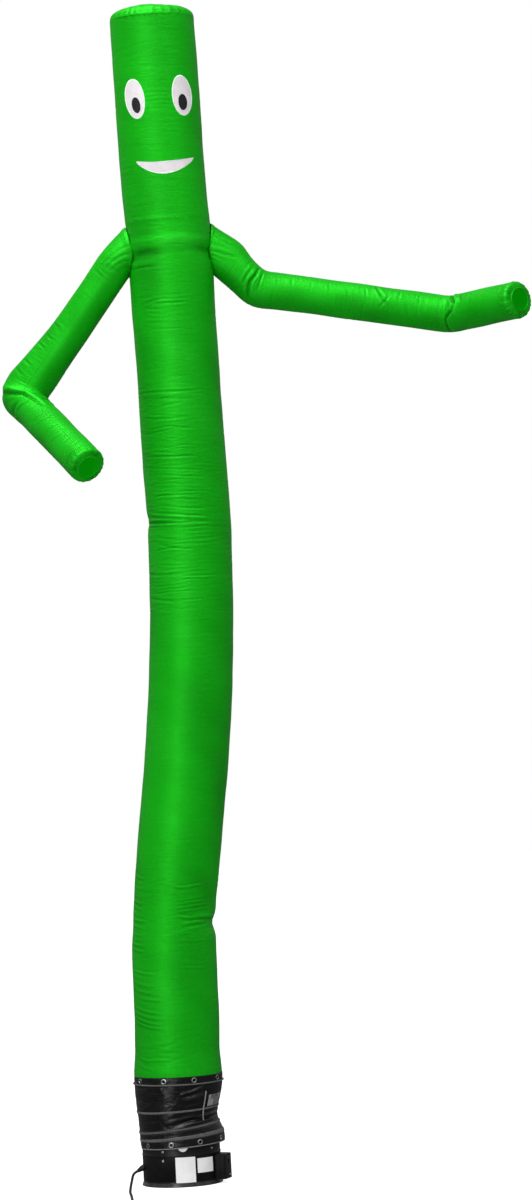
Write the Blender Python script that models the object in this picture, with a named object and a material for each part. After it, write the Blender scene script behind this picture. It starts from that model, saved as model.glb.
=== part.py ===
"""Inflatable air dancer standing on its blower.

Metres, +Z up, the viewer on -Y. The origin is the blower's axis on the floor.
The dancer is ripstop nylon blown up by the fan below it: one trunk tube, a head
tube with a domed cap, and two arm tubes that end in a vented cap. A vinyl
sleeve with eyelet bands joins the trunk to the blower.
"""

import math

import bmesh
import bpy
import numpy as np
from mathutils import Matrix, Vector

for old in list(bpy.data.objects):
    bpy.data.objects.remove(old, do_unlink=True)

# ------------------------------------------------------------------ sizes
CLOTH = 0.0012        # wall of the nylon sheets
VINYL = 0.0016        # wall of the vinyl sleeve
GAP = 0.0003          # between two pieces that touch
COLUMNS = 24          # facets round the trunk, head and sleeve
RIGHT_ARM_DEG = 11.0  # where the arms leave the trunk, 0 = +X
LEFT_ARM_DEG = 178.0
ARM_Z = 5.005         # middle of both arm openings
SEAM_SLEEVE_Z = 0.5855
SEAM_NECK_Z = 5.1558
SEAM_CAP_Z = 6.250
SWAY_Y = 0.020        # the trunk leans back a little half-way up

BARREL_R = 0.2095
BARREL_H = 0.300
BARREL_WALL = 0.003
BARREL_STEP_Z = 0.168
BASE_H = 0.022
MOTOR_R = 0.070

CORD_D = 0.014
CORD_BEND_POINTS = 34
COIL_R = 0.0840       # middle of the coil's turns
COIL_AT = (-0.1570, -1.025)
COIL_CLEAR = 0.0660    # from the middle of the coil to where the cord meets its side
COIL_TURNS = 1.25
CORD_LENGTH = 1.83

# height, centre x and radius of the blown-up tube, as it leans and sways
TUBE = [
    # z      x       radius
    (0.585, 0.004, 0.2370),
    (0.72, 0.006, 0.2295),
    (0.90, 0.011, 0.2280),
    (1.25, 0.015, 0.2260),
    (1.40, 0.024, 0.2225),
    (1.50, 0.032, 0.2225),
    (1.65, 0.049, 0.2265),
    (1.90, 0.083, 0.2285),
    (2.30, 0.136, 0.2275),
    (2.70, 0.177, 0.2270),
    (3.10, 0.200, 0.2260),
    (3.50, 0.2095, 0.2245),
    (3.90, 0.200, 0.2250),
    (4.30, 0.193, 0.2230),
    (4.70, 0.184, 0.2245),
    (5.05, 0.180, 0.2270),
    (5.30, 0.166, 0.2280),
    (5.70, 0.156, 0.2280),
    (6.05, 0.150, 0.2265),
    (6.25, 0.145, 0.2255),
]
# the main pinches of the cloth: depth inwards, spread up and down, spread round, climb per radian
FOLDS = [
    # z     degrees  depth   high   round  climb
    (1.385, -8.0, 0.020, 0.045, 0.70, 0.00),
    (1.470, -40.0, 0.008, 0.050, 0.60, 0.05),
    (3.545, 180.0, 0.013, 0.040, 0.80, -0.03),
    (4.985, 214.0, 0.014, 0.050, 0.50, 0.00),
    (4.990, -18.0, 0.016, 0.050, 0.45, 0.00),
    (0.700, 60.0, 0.006, 0.060, 0.80, 0.00),
]
TRUNK_ROWS = [0.5855, 0.66, 0.76, 0.92, 1.10, 1.26, 1.335, 1.385, 1.435, 1.53, 1.68, 1.88,
              2.10, 2.34, 2.60, 2.86, 3.12, 3.36, 3.495, 3.545, 3.595, 3.74, 3.98, 4.22,
              4.46, 4.68, 4.835, 4.92, 5.005, 5.085, 5.1555]
HEAD_ROWS = [5.1558, 5.24, 5.36, 5.52, 5.70, 5.88, 6.04, 6.17, 6.2500]
CAP_PROFILE = [  # share of the tube's radius, height over the rim
    (1.000, 0.000), (0.985, 0.018), (0.930, 0.039), (0.790, 0.057), (0.530, 0.069), (0.230, 0.0745),
]

# the centre line of each arm, its radius, how tightly it turns at each inner point, and how far the
# cloth stands out to a corner on the outer side of the turn
LEFT_ARM = [
    # x        y       z      turn radius  corner
    (-0.0700, 0.0138, 5.007, 0.0, 0.0),
    (-0.6531, 0.1500, 4.245, 0.110, 0.062),
    (-0.2950, -0.4200, 3.832, 0.0, 0.0),
]
RIGHT_ARM = [
    (0.4046, 0.0433, 5.002, 0.0, 0.0),
    (0.6450, 0.0500, 4.780, 0.200, 0.012),
    (1.6735, 0.0150, 4.585, 0.130, 0.022),
    (2.0270, -0.3900, 4.609, 0.0, 0.0),
]
ARM_FIRST = {"left": 0.125, "right": 0.150}  # from the start of the line to the first whole ring
ARM_R = 0.0990
ARM_SIDES = 16
ARM_STEP = 0.135
VENT_R = 0.055
HAND_PROFILE = [  # radius, distance beyond the end of the arm's tube
    (0.0985, 0.0000), (0.0960, 0.0150), (0.0840, 0.0310), (0.0680, 0.0390), (VENT_R, 0.0400),
]

# the sleeve: height, left side and right side as seen from the front
SLEEVE = [
    # z     left     right
    (0.200, -0.2120, 0.2330),
    (0.235, -0.2160, 0.2370),
    (0.265, -0.2180, 0.2350),
    (0.300, -0.2195, 0.2240),
    (0.330, -0.2205, 0.2110),
    (0.360, -0.2220, 0.2030),
    (0.400, -0.2270, 0.2080),
    (0.450, -0.2300, 0.2210),
    (0.500, -0.2330, 0.2330),
    (0.550, -0.2335, 0.2395),
    (0.590, -0.2330, 0.2410),
]
SLEEVE_DEPTH = 0.2235  # front to back radius low down
SLEEVE_ROWS = [0.2523, 0.2700, 0.3000, 0.3110, 0.3500, 0.3960, 0.4070, 0.4500, 0.5000, 0.5447]
BAND = 0.0016          # thickness of the webbing bands
EYELETS = 9            # round each eyelet band
EYELET_R = 0.0110      # the hole cut in the band
COLLAR_FIRST_DEG = 212.0
HEM_FIRST_DEG = 215.5
GROMMET = [  # radius, height over the band's middle: one rolled metal ring
    (0.0080, 0.0028), (0.0145, 0.0028), (0.0145, 0.0018), (0.0092, 0.0018), (0.0092, -0.0020), (0.0080, -0.0020),
]

EYES = [
    # name     x      z      half w  half h  lean   pupil dx  pupil dz
    ("left", 0.0375, 5.803, 0.0525, 0.1090, 7.0, 0.006, -0.034),
    ("right", 0.2890, 5.812, 0.0525, 0.1090, 3.0, 0.002, -0.036),
]
PUPIL = (0.0225, 0.0430)
MOUTH = {"x": 0.1810, "z": 5.4700, "half": 0.1530, "sag_top": 0.016, "sag_low": 0.077, "tip": 0.004}


# ------------------------------------------------------------------ helpers
def smooth(rows, column, at):
    """A cubic through a table's rows, flat past its ends."""
    z = [r[0] for r in rows]
    v = [r[column] for r in rows]
    if at <= z[0]:
        return v[0]
    if at >= z[-1]:
        return v[-1]
    i = max(k for k in range(len(z) - 1) if z[k] <= at)
    h = z[i + 1] - z[i]
    t = (at - z[i]) / h

    def slope(k):
        if k == 0 or k == len(z) - 1:
            return 0.0
        a = (v[k] - v[k - 1]) / (z[k] - z[k - 1])
        b = (v[k + 1] - v[k]) / (z[k + 1] - z[k])
        return 0.0 if a * b <= 0 else 2 * a * b / (a + b)

    m0, m1 = slope(i) * h, slope(i + 1) * h
    return (
        (2 * t**3 - 3 * t**2 + 1) * v[i]
        + (t**3 - 2 * t**2 + t) * m0
        + (-2 * t**3 + 3 * t**2) * v[i + 1]
        + (t**3 - t**2) * m1
    )


def turn(a):
    """An angle brought to -pi..pi."""
    return (a + math.pi) % (2 * math.pi) - math.pi


def column_angle(i):
    """The angle of a facet's edge: the arms sit on columns 0 and 12."""
    i = i % COLUMNS
    half = COLUMNS // 2
    a, b = RIGHT_ARM_DEG, LEFT_ARM_DEG
    if i < half:
        return math.radians(a + (b - a) * i / half)
    return math.radians(b + (a + 360 - b) * (i - half) / half)


def tube_point(angle, z, off=0.0):
    """A point of the blown-up tube, off metres outside its outer face."""
    x, r = smooth(TUBE, 1, z), smooth(TUBE, 2, z)
    y = SWAY_Y * math.sin(math.pi * min(max((z - 0.6) / 5.6, 0.0), 1.0))
    for fz, fa, depth, high, wide, climb in FOLDS:
        da = turn(angle - math.radians(fa))
        dz = z - fz - climb * da
        r -= depth * math.exp(-((dz / high) ** 2)) * math.exp(-((da / wide) ** 2))
    r += off
    return Vector((x + r * math.cos(angle), y + r * math.sin(angle), z))


def sleeve_tilt(z):
    """How far the bands rise on the right: most at the low seams."""
    return 0.011 + 0.013 * math.exp(-(((z - 0.300) / 0.050) ** 2)) - 0.011 * min(max((z - 0.36) / 0.18, 0.0), 1.0)


def sleeve_point(angle, z0, off=0.0):
    """A point of the sleeve, off metres outside its outer face; z0 is its height at the front."""
    z = z0 + sleeve_tilt(z0) * math.cos(angle)
    left, right = smooth(SLEEVE, 1, z), smooth(SLEEVE, 2, z)
    rx, x = (right - left) / 2, (right + left) / 2
    k = min(max((z - 0.30) / 0.28, 0.0), 1.0)
    ry = SLEEVE_DEPTH + (0.2360 - SLEEVE_DEPTH) * k * k * (3 - 2 * k)
    da, dz = turn(angle - math.radians(-82)), z - 0.352
    dent = 0.007 * math.exp(-((da / 0.30) ** 2) - (((dz - 0.05 * da) / 0.020) ** 2))
    return Vector((x + (rx - dent + off) * math.cos(angle), (ry - dent + off) * math.sin(angle), z))


def material(name, colour, rough, metal=0.0):
    m = bpy.data.materials.get(name)
    if m is None:
        m = bpy.data.materials.new(name)
        m.use_nodes = True
        shader = m.node_tree.nodes["Principled BSDF"]
        shader.inputs["Base Color"].default_value = (*colour, 1.0)
        shader.inputs["Roughness"].default_value = rough
        shader.inputs["Metallic"].default_value = metal
        m.diffuse_color = (*colour, 1.0)
    return m


GREEN = ("green_nylon", (0.025, 0.42, 0.03), 0.45)
WHITE = ("white_nylon", (0.75, 0.77, 0.75), 0.6)
DARK = ("black_nylon", (0.02, 0.02, 0.022), 0.6)
BLACK = ("black_vinyl", (0.012, 0.012, 0.013), 0.25)
WEB = ("black_webbing", (0.05, 0.05, 0.05), 0.55)
STEEL = ("grommet_steel", (0.7, 0.7, 0.7), 0.3, 1.0)
SHELL = ("blower_plastic", (0.02, 0.02, 0.02), 0.4)
PAPER = ("bare_label", (0.85, 0.85, 0.85), 0.6)
RUBBER = ("cord_rubber", (0.012, 0.012, 0.012), 0.5)
CAST = ("motor_iron", (0.08, 0.08, 0.08), 0.6)


def finish(bm, name, look):
    """Makes the object: faces out, round faces smooth."""
    bmesh.ops.recalc_face_normals(bm, faces=bm.faces)
    if bm.calc_volume(signed=True) < 0:
        bmesh.ops.reverse_faces(bm, faces=bm.faces)
    mesh = bpy.data.meshes.new(name)
    bm.to_mesh(mesh)
    bm.free()
    mesh.shade_smooth()
    mesh.set_sharp_from_angle(angle=math.radians(35))
    obj = bpy.data.objects.new(name, mesh)
    bpy.context.scene.collection.objects.link(obj)
    mesh.materials.append(material(*look))
    return obj


def around(n, k):
    """The k-th place on the edge of a square of n cells, from its +i side, turning to +j."""
    h = n // 2
    side = [(h, j) for j in range(0, h)] + [(i, h) for i in range(h, -h, -1)]
    side += [(-h, j) for j in range(h, -h, -1)] + [(i, -h) for i in range(-h, h)] + [(h, j) for j in range(-h, 0)]
    return side[k % (4 * n)]


def sheet_tube(name, look, columns, rows, point, wall, holes=()):
    """A tube of thin sheet. point(i, j, off) gives its skin. A hole takes out a square of n cells round
    column i, row j, and puts in n * 4 faces round the rim that rim(k, off) gives."""
    bm = bmesh.new()
    gone_cells, gone_points = set(), set()
    for hole in holes:
        h = hole["n"] // 2
        for di in range(-h, h):
            for dj in range(-h, h):
                gone_cells.add(((hole["i"] + di) % columns, hole["j"] + dj))
        for di in range(-h + 1, h):
            for dj in range(-h + 1, h):
                gone_points.add(((hole["i"] + di) % columns, hole["j"] + dj))
    layers = []
    for off in (0.0, -wall):
        grid = {
            (i, j): bm.verts.new(point(i, j, off))
            for i in range(columns)
            for j in range(rows)
            if (i, j) not in gone_points
        }
        rims = [[bm.verts.new(hole["rim"](k, off)) for k in range(4 * hole["n"])] for hole in holes]
        layers.append((grid, rims))
        for i in range(columns):
            for j in range(rows - 1):
                if (i, j) not in gone_cells:
                    e = (i + 1) % columns
                    bm.faces.new([grid[i, j], grid[e, j], grid[e, j + 1], grid[i, j + 1]])
        for hole, rim in zip(holes, rims, strict=True):
            n = 4 * hole["n"]
            edge = []
            for k in range(n):
                di, dj = around(hole["n"], k)
                edge.append(grid[(hole["i"] + di) % columns, hole["j"] + dj])
            for k in range(n):
                m = (k + 1) % n
                bm.faces.new([rim[k], edge[k], edge[m], rim[m]])
    (g0, r0), (g1, r1) = layers
    for j in (0, rows - 1):
        for i in range(columns):
            e = (i + 1) % columns
            bm.faces.new([g0[i, j], g0[e, j], g1[e, j], g1[i, j]])
    for a, b in zip(r0, r1, strict=True):
        for k in range(len(a)):
            m = (k + 1) % len(a)
            bm.faces.new([a[k], a[m], b[m], b[k]])
    return finish(bm, name, look)


def ring_stack(name, look, outer, inner=None, top=False):
    """A solid from rings of points: outer up and inner down make a sheet; top closes it to one point each."""
    bm = bmesh.new()

    def skin(rings):
        made = [[bm.verts.new(p) for p in ring] for ring in rings]
        for a, b in zip(made, made[1:]):
            n = len(a)
            for k in range(n):
                m = (k + 1) % n
                bm.faces.new([a[k], a[m], b[m], b[k]])
        return made

    def crown(ring, point):
        tip = bm.verts.new(point)
        for k in range(len(ring)):
            bm.faces.new([ring[k], ring[(k + 1) % len(ring)], tip])

    a = skin(outer)
    if inner is None:
        bm.faces.new(a[0])
        bm.faces.new(a[-1])
        return finish(bm, name, look)
    b = skin(inner)
    ends = [0] if top else [0, -1]
    for e in ends:
        n = len(a[e])
        for k in range(n):
            m = (k + 1) % n
            bm.faces.new([a[e][k], a[e][m], b[e][m], b[e][k]])
    if top:
        crown(a[-1], top[0])
        crown(b[-1], top[1])
    return finish(bm, name, look)


def turned(name, look, profile, sides, place=None, start=0.0):
    """A closed profile of (radius, height) turned about +Z, then placed by a matrix."""
    place = place or Matrix.Identity(4)
    bm = bmesh.new()
    rings = []
    for r, z in profile:
        rings.append(
            [
                bm.verts.new(
                    place
                    @ Vector(
                        (r * math.cos(start + 2 * math.pi * k / sides), r * math.sin(start + 2 * math.pi * k / sides), z)
                    )
                )
                for k in range(sides)
            ]
        )
    for a, b in zip(rings, rings[1:] + rings[:1]):
        for k in range(sides):
            m = (k + 1) % sides
            bm.faces.new([a[k], a[m], b[m], b[k]])
    return finish(bm, name, look)


def disc(name, look, profile, sides, place):
    """A closed disc or dome: rings of (radius, height), the first and last closed flat."""
    rings = [
        [place @ Vector((r * math.cos(2 * math.pi * k / sides), r * math.sin(2 * math.pi * k / sides), z)) for k in range(sides)]
        for r, z in profile
    ]
    return ring_stack(name, look, rings)


def facing(at, outward, up=Vector((0, 0, 1))):
    """A place whose +Z is outward and whose +Y is as near up as it can be."""
    w = Vector(outward).normalized()
    u = up.cross(w)
    if u.length < 1e-6:
        u = Vector((1, 0, 0))
    u.normalize()
    v = w.cross(u)
    return Matrix.Translation(at) @ Matrix((u, v, w)).transposed().to_4x4()


def plate(name, look, point, across, up, low, high):
    """A thin plate: point(a, b, off) over the listed places, from off = low to off = high."""
    bm = bmesh.new()
    layers = [[[bm.verts.new(point(a, b, off)) for b in up] for a in across] for off in (low, high)]
    n, m = len(across), len(up)
    for layer in layers:
        for i in range(n - 1):
            for j in range(m - 1):
                bm.faces.new([layer[i][j], layer[i + 1][j], layer[i + 1][j + 1], layer[i][j + 1]])
    edge = [(i, 0) for i in range(n)] + [(n - 1, j) for j in range(1, m)]
    edge += [(i, m - 1) for i in range(n - 2, -1, -1)] + [(0, j) for j in range(m - 2, 0, -1)]
    for (i, j), (k, l) in zip(edge, edge[1:] + edge[:1]):
        a, b = layers
        bm.faces.new([a[i][j], a[k][l], b[k][l], b[i][j]])
    return finish(bm, name, look)


# ------------------------------------------------------------------ trunk, head and cap
def arm_rim(deg):
    def rim(k, off):
        a = 2 * math.pi * k / 16
        return tube_point(math.radians(deg) + math.radians(20.5) * math.cos(a), ARM_Z + 0.120 * math.sin(a), off)

    return rim


BLOCK_ROW = TRUNK_ROWS.index(ARM_Z)
sheet_tube(
    "trunk", GREEN, COLUMNS, len(TRUNK_ROWS),
    lambda i, j, off: tube_point(column_angle(i), TRUNK_ROWS[j], off), CLOTH,
    [
        {"i": 0, "j": BLOCK_ROW, "n": 4, "rim": arm_rim(RIGHT_ARM_DEG)},
        {"i": COLUMNS // 2, "j": BLOCK_ROW, "n": 4, "rim": arm_rim(LEFT_ARM_DEG)},
    ],
)
sheet_tube(
    "head", GREEN, COLUMNS, len(HEAD_ROWS),
    lambda i, j, off: tube_point(column_angle(i), HEAD_ROWS[j], off), CLOTH,
)


def cap_ring(share, rise, off):
    rim = [tube_point(column_angle(i), SEAM_CAP_Z, 0.0) for i in range(COLUMNS)]
    mid = Vector((smooth(TUBE, 1, SEAM_CAP_Z), 0.0, SEAM_CAP_Z))
    ring = []
    for i, p in enumerate(rim):
        out = (p - mid) * share
        pucker = 0.0015 * (1 if i % 2 else -1) * (1 - share) * 4 * share
        ring.append(mid + out * (1 - off / 0.226) + Vector((0, 0, rise + GAP + pucker)))
    return ring


outer = [cap_ring(s, h, 0.0) for s, h in CAP_PROFILE]
inner = [cap_ring(s, h, CLOTH) for s, h in CAP_PROFILE]
inner = [[p - Vector((0, 0, CLOTH if k else 0.0)) for p in ring] for k, ring in enumerate(inner)]
top = Vector((smooth(TUBE, 1, SEAM_CAP_Z), 0.0, SEAM_CAP_Z + 0.0755 + GAP))
ring_stack("head_cap", GREEN, outer, inner, (top, top - Vector((0, 0, CLOTH))))


# ------------------------------------------------------------------ face, sewn on the head's front
def on_head(x, z, off):
    """The place on the head's front that is seen at x, z."""
    c, r = smooth(TUBE, 1, z), smooth(TUBE, 2, z)
    a = -math.acos(min(max((x - c) / r, -0.999), 0.999))
    return tube_point(a, z, off)


def oval(name, look, x, z, half_w, half_h, lean, low, high, sides, rings):
    lean = math.radians(lean)
    bm = bmesh.new()
    layers = []
    for off in (low, high):
        mid = bm.verts.new(on_head(x, z, off))
        made = []
        for r in range(1, rings + 1):
            ring = []
            for k in range(sides):
                a = 2 * math.pi * k / sides
                u, v = half_w * math.cos(a) * r / rings, half_h * math.sin(a) * r / rings
                ring.append(
                    bm.verts.new(on_head(x + u * math.cos(lean) - v * math.sin(lean), z + u * math.sin(lean) + v * math.cos(lean), off))
                )
            made.append(ring)
        for k in range(sides):
            m = (k + 1) % sides
            bm.faces.new([mid, made[0][k], made[0][m]])
            for a, b in zip(made, made[1:]):
                bm.faces.new([a[k], a[m], b[m], b[k]])
        layers.append(made[-1])
    a, b = layers
    for k in range(sides):
        m = (k + 1) % sides
        bm.faces.new([a[k], a[m], b[m], b[k]])
    return finish(bm, name, look)


for side, x, z, w, h, lean, px, pz in EYES:
    oval("eye_" + side, WHITE, x, z, w, h, lean, 0.0010, 0.0020, 16, 3)
    oval("pupil_" + side, DARK, x + px, z + pz, PUPIL[0], PUPIL[1], lean, 0.0025, 0.0035, 12, 2)


def mouth_point(s, t, off):
    """s runs from corner to corner, t from the lower edge to the upper one."""
    m = MOUTH
    bow = 1 - s * s
    z_top = m["z"] + 0.003 * s - m["sag_top"] * bow + m["tip"]
    z_low = m["z"] + 0.003 * s - m["sag_low"] * bow - m["tip"]
    return on_head(m["x"] + m["half"] * s, z_low + (z_top - z_low) * t, off)


plate("mouth", WHITE, mouth_point, [math.sin(math.pi / 2 * k / 9) for k in range(-9, 10)], [0.0, 0.5, 1.0], 0.0010, 0.0020)


# ------------------------------------------------------------------ arms
def arm_stations(rows, first, last):
    """Places along the arm's centre line: straight runs joined by round turns. Each is (point, direction)."""
    pts = [Vector(r[:3]) for r in rows]
    out = []
    at = pts[0] + (pts[1] - pts[0]).normalized() * first
    for k in range(1, len(pts)):
        d0 = (pts[k] - pts[k - 1]).normalized()
        if k < len(pts) - 1:
            d1 = (pts[k + 1] - pts[k]).normalized()
            bend = d0.angle(d1)
            cut = rows[k][3] * math.tan(bend / 2)
            stop = pts[k] - d0 * cut
        else:
            stop = pts[k] - d0 * last
        run = (stop - at).dot(d0)
        n = max(1, round(run / ARM_STEP))
        for i in range(n):
            out.append((at + d0 * (run * i / n), d0))
        if k < len(pts) - 1:
            axis = d0.cross(d1).normalized()
            centre = stop + axis.cross(d0) * rows[k][3]
            steps = max(2, math.ceil(bend / math.radians(19)))
            for i in range(steps):
                spin = Matrix.Rotation(bend * i / steps, 3, axis)
                out.append((centre + spin @ (stop - centre), spin @ d0))
            at = pts[k] + d1 * cut
        else:
            out.append((stop, d0))
    return out


def arm_frames(stations):
    """Carries one pair of side axes along the arm without twist."""
    d = stations[0][1]
    u = Vector((0, 0, 1)).cross(d).normalized()
    frames = []
    for p, e in stations:
        u = (u - e * u.dot(e)).normalized()
        frames.append((p, e, u, e.cross(u)))
    return frames


def arm_ring(frame, r, shift=0.0):
    p, e, u, v = frame
    return [
        p + e * shift + (u * math.cos(2 * math.pi * k / ARM_SIDES) + v * math.sin(2 * math.pi * k / ARM_SIDES)) * r
        for k in range(ARM_SIDES)
    ]


def cornered(ring, rows):
    """Lets a ring's cloth stand out on the outer side of each turn."""
    out = []
    for p in ring:
        move = Vector()
        for k in range(1, len(rows) - 1):
            a, b, c = (Vector(r[:3]) for r in rows[k - 1 : k + 2])
            way = ((b - a).normalized() - (c - b).normalized()).normalized()
            move += way * rows[k][4] * math.exp(-(((p - b - way * 0.060) / 0.095).length ** 2))
        out.append(p + move)
    return out


def arm_root(deg, column, gap):
    """The ring that lies on the trunk round its opening: outer and inner edge."""
    rim = arm_rim(deg)
    outer, inner = [], []
    for k in range(ARM_SIDES):
        di, dj = around(4, k)
        far = tube_point(column_angle(column + di), TRUNK_ROWS[BLOCK_ROW + dj], 0.0)
        near = rim(k, 0.0)
        span_a = turn(column_angle(column + di) - math.radians(deg))
        span_z = far.z - ARM_Z
        a = 2 * math.pi * k / ARM_SIDES
        h = (math.radians(20.5) * math.cos(a), 0.120 * math.sin(a))
        t = 0.0
        while t < 0.95:
            q = (h[0] + t * (span_a - h[0]), h[1] + t * (span_z - h[1]))
            if (q[0] / math.radians(25.0)) ** 2 + (q[1] / 0.139) ** 2 >= 1.0:
                break
            t += 0.01
        out = Vector((near.x - smooth(TUBE, 1, ARM_Z), near.y, 0)).normalized() * gap
        step = (far - near).length
        outer.append(near + (far - near) * t + out)
        inner.append(near + (far - near) * (t - 1.6 * CLOTH / step) + out)
    return outer, inner


def arm(side, rows, deg, column):
    stations = arm_stations(rows, ARM_FIRST[side], 0.0400)
    frames = arm_frames(stations)
    root_outer, root_inner = arm_root(deg, column, 0.0024)
    outer = [root_outer] + [cornered(arm_ring(f, ARM_R), rows) for f in frames]
    inner = [root_inner] + [cornered(arm_ring(f, ARM_R - CLOTH), rows) for f in frames]
    ring_stack("arm_" + side, GREEN, outer, inner)
    end = frames[-1]
    outer = [arm_ring(end, r, s + GAP) for r, s in HAND_PROFILE]
    inner = [arm_ring(end, r - CLOTH * (1 if k == 0 else 0.7), s + GAP - CLOTH * (0 if k == 0 else 0.8))
             for k, (r, s) in enumerate(HAND_PROFILE)]
    inner[-1] = arm_ring(end, VENT_R, HAND_PROFILE[-1][1] + GAP - CLOTH)
    ring_stack("hand_" + side, GREEN, outer, inner)


arm("left", LEFT_ARM, LEFT_ARM_DEG, COLUMNS // 2)
arm("right", RIGHT_ARM, RIGHT_ARM_DEG, 0)

# ------------------------------------------------------------------ sleeve, bands and eyelets
sheet_tube(
    "sleeve", BLACK, COLUMNS, len(SLEEVE_ROWS),
    lambda i, j, off: sleeve_point(column_angle(i), SLEEVE_ROWS[j], off), VINYL,
)


def sleeve_band(name, low_row, high_row, look):
    sheet_tube(
        name, look, COLUMNS, 2,
        lambda i, j, off: sleeve_point(column_angle(i), SLEEVE_ROWS[(low_row, high_row)[j]], GAP + BAND + off), BAND,
    )


sleeve_band("webbing_band", 0, 1, WEB)
sleeve_band("lower_binding", 2, 3, WEB)
sleeve_band("middle_binding", 5, 6, WEB)


def on_sleeve(c, r, off):
    """A place on the sleeve's facets: c counts columns and r counts rows, with parts of them."""
    i, j = math.floor(c), min(math.floor(r), len(SLEEVE_ROWS) - 2)
    a, b = c - i, r - j
    q = [[sleeve_point(column_angle(i + m), SLEEVE_ROWS[j + n], off) for n in (0, 1)] for m in (0, 1)]
    return (q[0][0] * (1 - a) + q[1][0] * a) * (1 - b) + (q[0][1] * (1 - a) + q[1][1] * a) * b


plate("side_patch", PAPER, on_sleeve, [20.62, 21.0, 21.5, 22.0, 22.45], [6.25, 7.0, 7.9], 0.0006, 0.0016)
plate("side_piping", WEB, on_sleeve, [20.12, 20.27], [6.2, 7.0, 8.0], 0.0006, 0.0036)


def eyelet_band(name, heights, first_deg, point):
    """A strip with a row of open eyelets, each with a rolled metal ring."""
    columns = EYELETS * 4
    first = math.radians(first_deg)

    def skin(i, j, off):
        return point(first + 2 * math.pi * i / columns, heights[j], off)

    holes = []
    for e in range(EYELETS):
        a0 = first + 2 * math.pi * e / EYELETS
        mid = point(a0, heights[1], -BAND / 2)
        side = (point(a0 + 0.02, heights[1], -BAND / 2) - point(a0 - 0.02, heights[1], -BAND / 2)).length / 0.04

        def rim(k, off, a0=a0, side=side):
            a = 2 * math.pi * k / 8
            return point(a0 + EYELET_R * math.cos(a) / side, heights[1] + EYELET_R * math.sin(a), off)

        holes.append({"i": 4 * e, "j": 1, "n": 2, "rim": rim})
        along = point(a0 + 0.05, heights[1], 0.0) - point(a0 - 0.05, heights[1], 0.0)
        up = point(a0, heights[1] + 0.014, 0.0) - point(a0, heights[1] - 0.014, 0.0)
        out = along.cross(up)
        turned(f"{name}_ring_{e + 1}", STEEL, GROMMET, 8, facing(mid, out), 0.0)
    sheet_tube(name, BLACK, columns, 3, skin, BAND, holes)


eyelet_band("collar_band", [0.5450, 0.5650, 0.5852], COLLAR_FIRST_DEG, lambda a, z, off: sleeve_point(a, z, off))
eyelet_band("hem_band", [0.2080, 0.2300, 0.2520], HEM_FIRST_DEG, lambda a, z, off: sleeve_point(a, z, off))

piping = []
for k in range(36):
    a = 2 * math.pi * k / 36
    piping.append([
        sleeve_point(a, 0.5448 + 0.0030 * math.sin(b), 0.0052 + 0.0030 * math.cos(b))
        for b in (math.pi / 4 + math.pi / 2 * q for q in range(4))
    ])
bm = bmesh.new()
made = [[bm.verts.new(p) for p in ring] for ring in piping]
for a, b in zip(made, made[1:] + made[:1]):
    for q in range(4):
        bm.faces.new([a[q], a[(q + 1) % 4], b[(q + 1) % 4], b[q]])
finish(bm, "collar_piping", WEB)

# ------------------------------------------------------------------ blower
turned(
    "blower_base", SHELL,
    [(0.188, 0.0), (0.2150, 0.0), (0.2160, 0.004), (0.2120, 0.012), (0.2105, BASE_H), (0.196, BASE_H), (0.188, 0.010)], 36,
)
turned(
    "blower_barrel", SHELL,
    [
        (BARREL_R - BARREL_WALL, BASE_H + GAP), (BARREL_R, BASE_H + GAP), (BARREL_R, BARREL_STEP_Z),
        (BARREL_R - 0.0012, BARREL_STEP_Z + 0.002), (BARREL_R - 0.0012, BARREL_H - 0.004),
        (BARREL_R - 0.0020, BARREL_H), (BARREL_R - BARREL_WALL - 0.0010, BARREL_H), (BARREL_R - BARREL_WALL - 0.0010, BARREL_STEP_Z),
        (BARREL_R - BARREL_WALL, BARREL_STEP_Z - 0.004),
    ], 36,
)


def guard():
    """The flat inlet guard that the blower stands on: a hub, two hoops and six spokes, cut from one plate."""
    radii = [0.030, 0.078, 0.112, 0.120, 0.152, 0.160, 0.1872]
    sides = 24
    solid_rings = {0, 2, 4}
    kept = {(i, j) for i in range(sides) for j in range(len(radii) - 1) if j in solid_rings or i % 4 == 0}
    bm = bmesh.new()
    points = {}

    def at(i, j, z):
        key = (i % sides, j, z)
        if key not in points:
            a = 2 * math.pi * (i + 0.5) / sides
            points[key] = bm.verts.new((radii[j] * math.cos(a), radii[j] * math.sin(a), z))
        return points[key]

    low, high = 0.0, 0.004
    for z in (low, high):
        bm.faces.new([at(i, 0, z) for i in range(sides)])
    for i, j in sorted(kept):
        for z in (low, high):
            bm.faces.new([at(i, j, z), at(i + 1, j, z), at(i + 1, j + 1, z), at(i, j + 1, z)])
        for (p, q), near in (
            (((i, j), (i + 1, j)), (i, j - 1)),
            (((i, j + 1), (i + 1, j + 1)), (i, j + 1)),
            (((i, j), (i, j + 1)), ((i - 1) % sides, j)),
            (((i + 1, j), (i + 1, j + 1)), ((i + 1) % sides, j)),
        ):
            if near not in kept and near[1] >= 0:
                bm.faces.new([at(*p, low), at(*q, low), at(*q, high), at(*p, high)])
    return finish(bm, "blower_guard", SHELL)


guard()
disc(
    "motor", CAST,
    [(0.062, 0.0043), (MOTOR_R, 0.012), (MOTOR_R, 0.118), (0.060, 0.130), (0.030, 0.136)], 20, Matrix.Identity(4),
)


def on_barrel(angle, z, off):
    r = BARREL_R + off
    return Vector((r * math.cos(angle), r * math.sin(angle), z))


def angle_at(x):
    return -math.acos(x / BARREL_R)


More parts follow.
